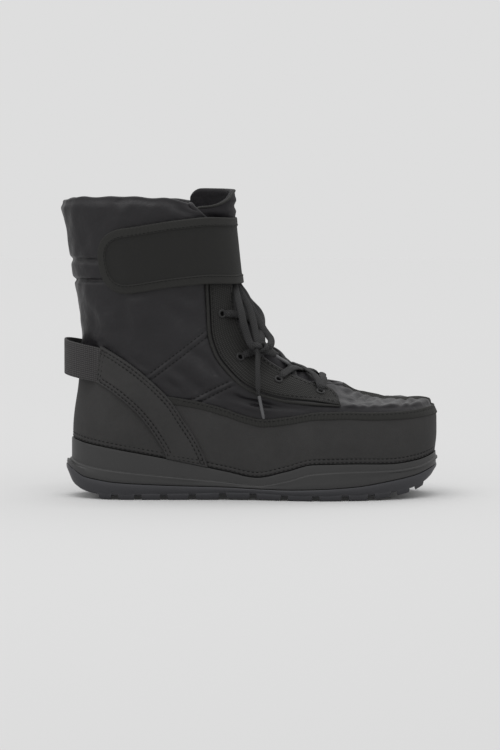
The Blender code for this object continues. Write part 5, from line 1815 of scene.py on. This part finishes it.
    def insole(self):
        edge = -(UPPER_WALL + 2.6)
        low = sole_ring(edge, bed, GAP, 201)
        high = sole_ring(edge, bed, GAP + INSOLE_THICKNESS - 0.8, 201)
        soft = sole_ring(edge - 0.8, bed, GAP + INSOLE_THICKNESS, 201)
        side = grid_piece("insole_side", np.array([low, high, soft]))
        under = grid_piece("insole_under", plan_grid(low, lambda x: bed(x) + GAP, 10))
        top = grid_piece("insole_top", plan_grid(soft, lambda x: bed(x) + GAP + INSOLE_THICKNESS, 40))
        piece = welded(joined("pile_insole", [side, under, top]))
        finished(piece, pile_finish("insole pile", colours().pile), "insole_felt", "insole")


class BOOT_OT_stage(bpy.types.Operator):
    """Sets up the floor, the soft lights and the view"""
    bl_idname = "boot.stage"
    bl_label = "Stage"

    def execute(self, context):
        scene = context.scene
        bpy.ops.object.select_all(action="DESELECT")
        bpy.ops.mesh.primitive_plane_add(size=1, location=(0, 0, 0))
        floor = context.object
        floor.name = "floor"
        bpy.ops.object.mode_set(mode="EDIT")
        bpy.ops.transform.resize(value=(8, 8, 1))
        bpy.ops.object.mode_set(mode="OBJECT")
        paint = Finish("pale floor", 0.9, Specular_IOR_Level=0.0, Emission_Strength=sizes().floor_glow)
        along, across, _ = paint.parts(paint.place)
        soft = {"interpolation_type": "SMOOTHSTEP"}
        back = paint.node("ShaderNodeMapRange", soft, {"Value": across, "From Min": -1.5, "From Max": 2.5})[0]
        past = (along.abs() - CONTACT_HALF_LENGTH).larger(0.0)
        aside = (across.abs() - CONTACT_HALF_WIDTH).larger(0.0)
        apart = past * past + aside * aside
        reach = {"Value": apart, "From Min": 0.0, "From Max": CONTACT_REACH_SQUARED}
        clear = paint.node("ShaderNodeMapRange", soft, reach)[0]
        floor_colour = colours().floor
        near, away = (
            paint.mix(back, shade(floor_colour, FLOOR_FRONT * tone), shade(floor_colour, FLOOR_BACK * tone))
            for tone in (1.0, FLOOR_UNDER_GLOW))
        paint.colour(paint.mix(clear, near, away))
        paint.glow(paint.mix(clear, shade((1.0, 1.0, 1.0), CONTACT_GLOW), (1.0, 1.0, 1.0, 1.0)))
        floor.data.materials.append(paint.material)
        self.sky(scene)
        for name, place, size, power, aim in (
                ("overhead", (-0.35, -0.5, 1.7), 1.1, sizes().key_light, (0.02, 0, 0.1)),
                ("side", (-1.6, -1.1, 0.9), 0.8, sizes().key_light * 0.35, (0, 0, 0.1))):
            light = bpy.data.lights.new(name, "AREA")
            light.energy = power
            light.size = size
            lamp = bpy.data.objects.new(name, light)
            lamp.location = place
            lamp.rotation_euler = (Vector(place) - Vector(aim)).to_track_quat("Z", "Y").to_euler()
            scene.collection.objects.link(lamp)
        view = bpy.data.cameras.new("view")
        view.sensor_fit = "HORIZONTAL"
        view.sensor_width = 36.0
        view.lens = view.sensor_width * VIEW_DISTANCE / VIEW_WIDTH
        camera = bpy.data.objects.new("view", view)
        down = sizes().camera_height
        camera.location = (0, -VIEW_DISTANCE * math.cos(down), VIEW_AIM_Z + VIEW_DISTANCE * math.sin(down))
        camera.rotation_euler = (math.pi / 2 - down, 0, 0)
        scene.collection.objects.link(camera)
        scene.camera = camera
        scene.view_settings.view_transform = "Standard"
        return {"FINISHED"}

    def sky(self, scene):
        """A pale studio that is brighter overhead."""
        world = bpy.data.worlds.new("studio")
        world.use_nodes = True
        tree = world.node_tree
        way = tree.nodes.new("ShaderNodeTexCoord")
        split = tree.nodes.new("ShaderNodeSeparateXYZ")
        tree.links.new(way.outputs["Generated"], split.inputs[0])
        up = Wire(tree, split.outputs[2]).larger(0.0)
        back = tree.nodes["Background"]
        back.inputs["Color"].default_value = (1.0, 1.0, 1.0, 1.0)
        tree.links.new((sizes().backdrop + up * up * sizes().overhead).socket, back.inputs["Strength"])
        scene.world = world


class BOOT_PT_sidebar(bpy.types.Panel):
    """Lists the steps and what a user may change"""
    bl_label = "Boot"
    bl_idname = "BOOT_PT_sidebar"
    bl_space_type = "VIEW_3D"
    bl_region_type = "UI"
    bl_category = "Boot"

    def draw(self, context):
        for operator in STEPS:
            self.layout.operator(operator.bl_idname)
        for group in (context.scene.boot_sizes, context.scene.boot_colours):
            for name in group.__annotations__:
                self.layout.prop(group, name)


STEPS = (
    BOOT_OT_stage, BOOT_OT_lace, BOOT_OT_upper, BOOT_OT_throat, BOOT_OT_lining, BOOT_OT_tongue,
    BOOT_OT_panels, BOOT_OT_eyestays, BOOT_OT_strap, BOOT_OT_pull_loop, BOOT_OT_stitches, BOOT_OT_eyelets,
    BOOT_OT_sole)
CLASSES = (BootColours, BootSizes, *STEPS, BOOT_PT_sidebar)


def register():
    for cls in CLASSES:
        bpy.utils.register_class(cls)
    bpy.types.Scene.boot_colours = bpy.props.PointerProperty(type=BootColours)
    bpy.types.Scene.boot_sizes = bpy.props.PointerProperty(type=BootSizes)


def unregister():
    del bpy.types.Scene.boot_sizes
    del bpy.types.Scene.boot_colours
    for cls in reversed(CLASSES):
        bpy.utils.unregister_class(cls)


def main():
    register()
    bpy.ops.boot.stage()
    bpy.ops.boot.lace()
    bpy.ops.boot.upper()
    bpy.ops.boot.throat()
    bpy.ops.boot.lining()
    bpy.ops.boot.tongue()
    bpy.ops.boot.panels()
    bpy.ops.boot.eyestays()
    bpy.ops.boot.strap()
    bpy.ops.boot.pull_loop()
    bpy.ops.boot.stitches()
    bpy.ops.boot.eyelets()
    bpy.ops.boot.sole()


if __name__ == "__main__":
    main()
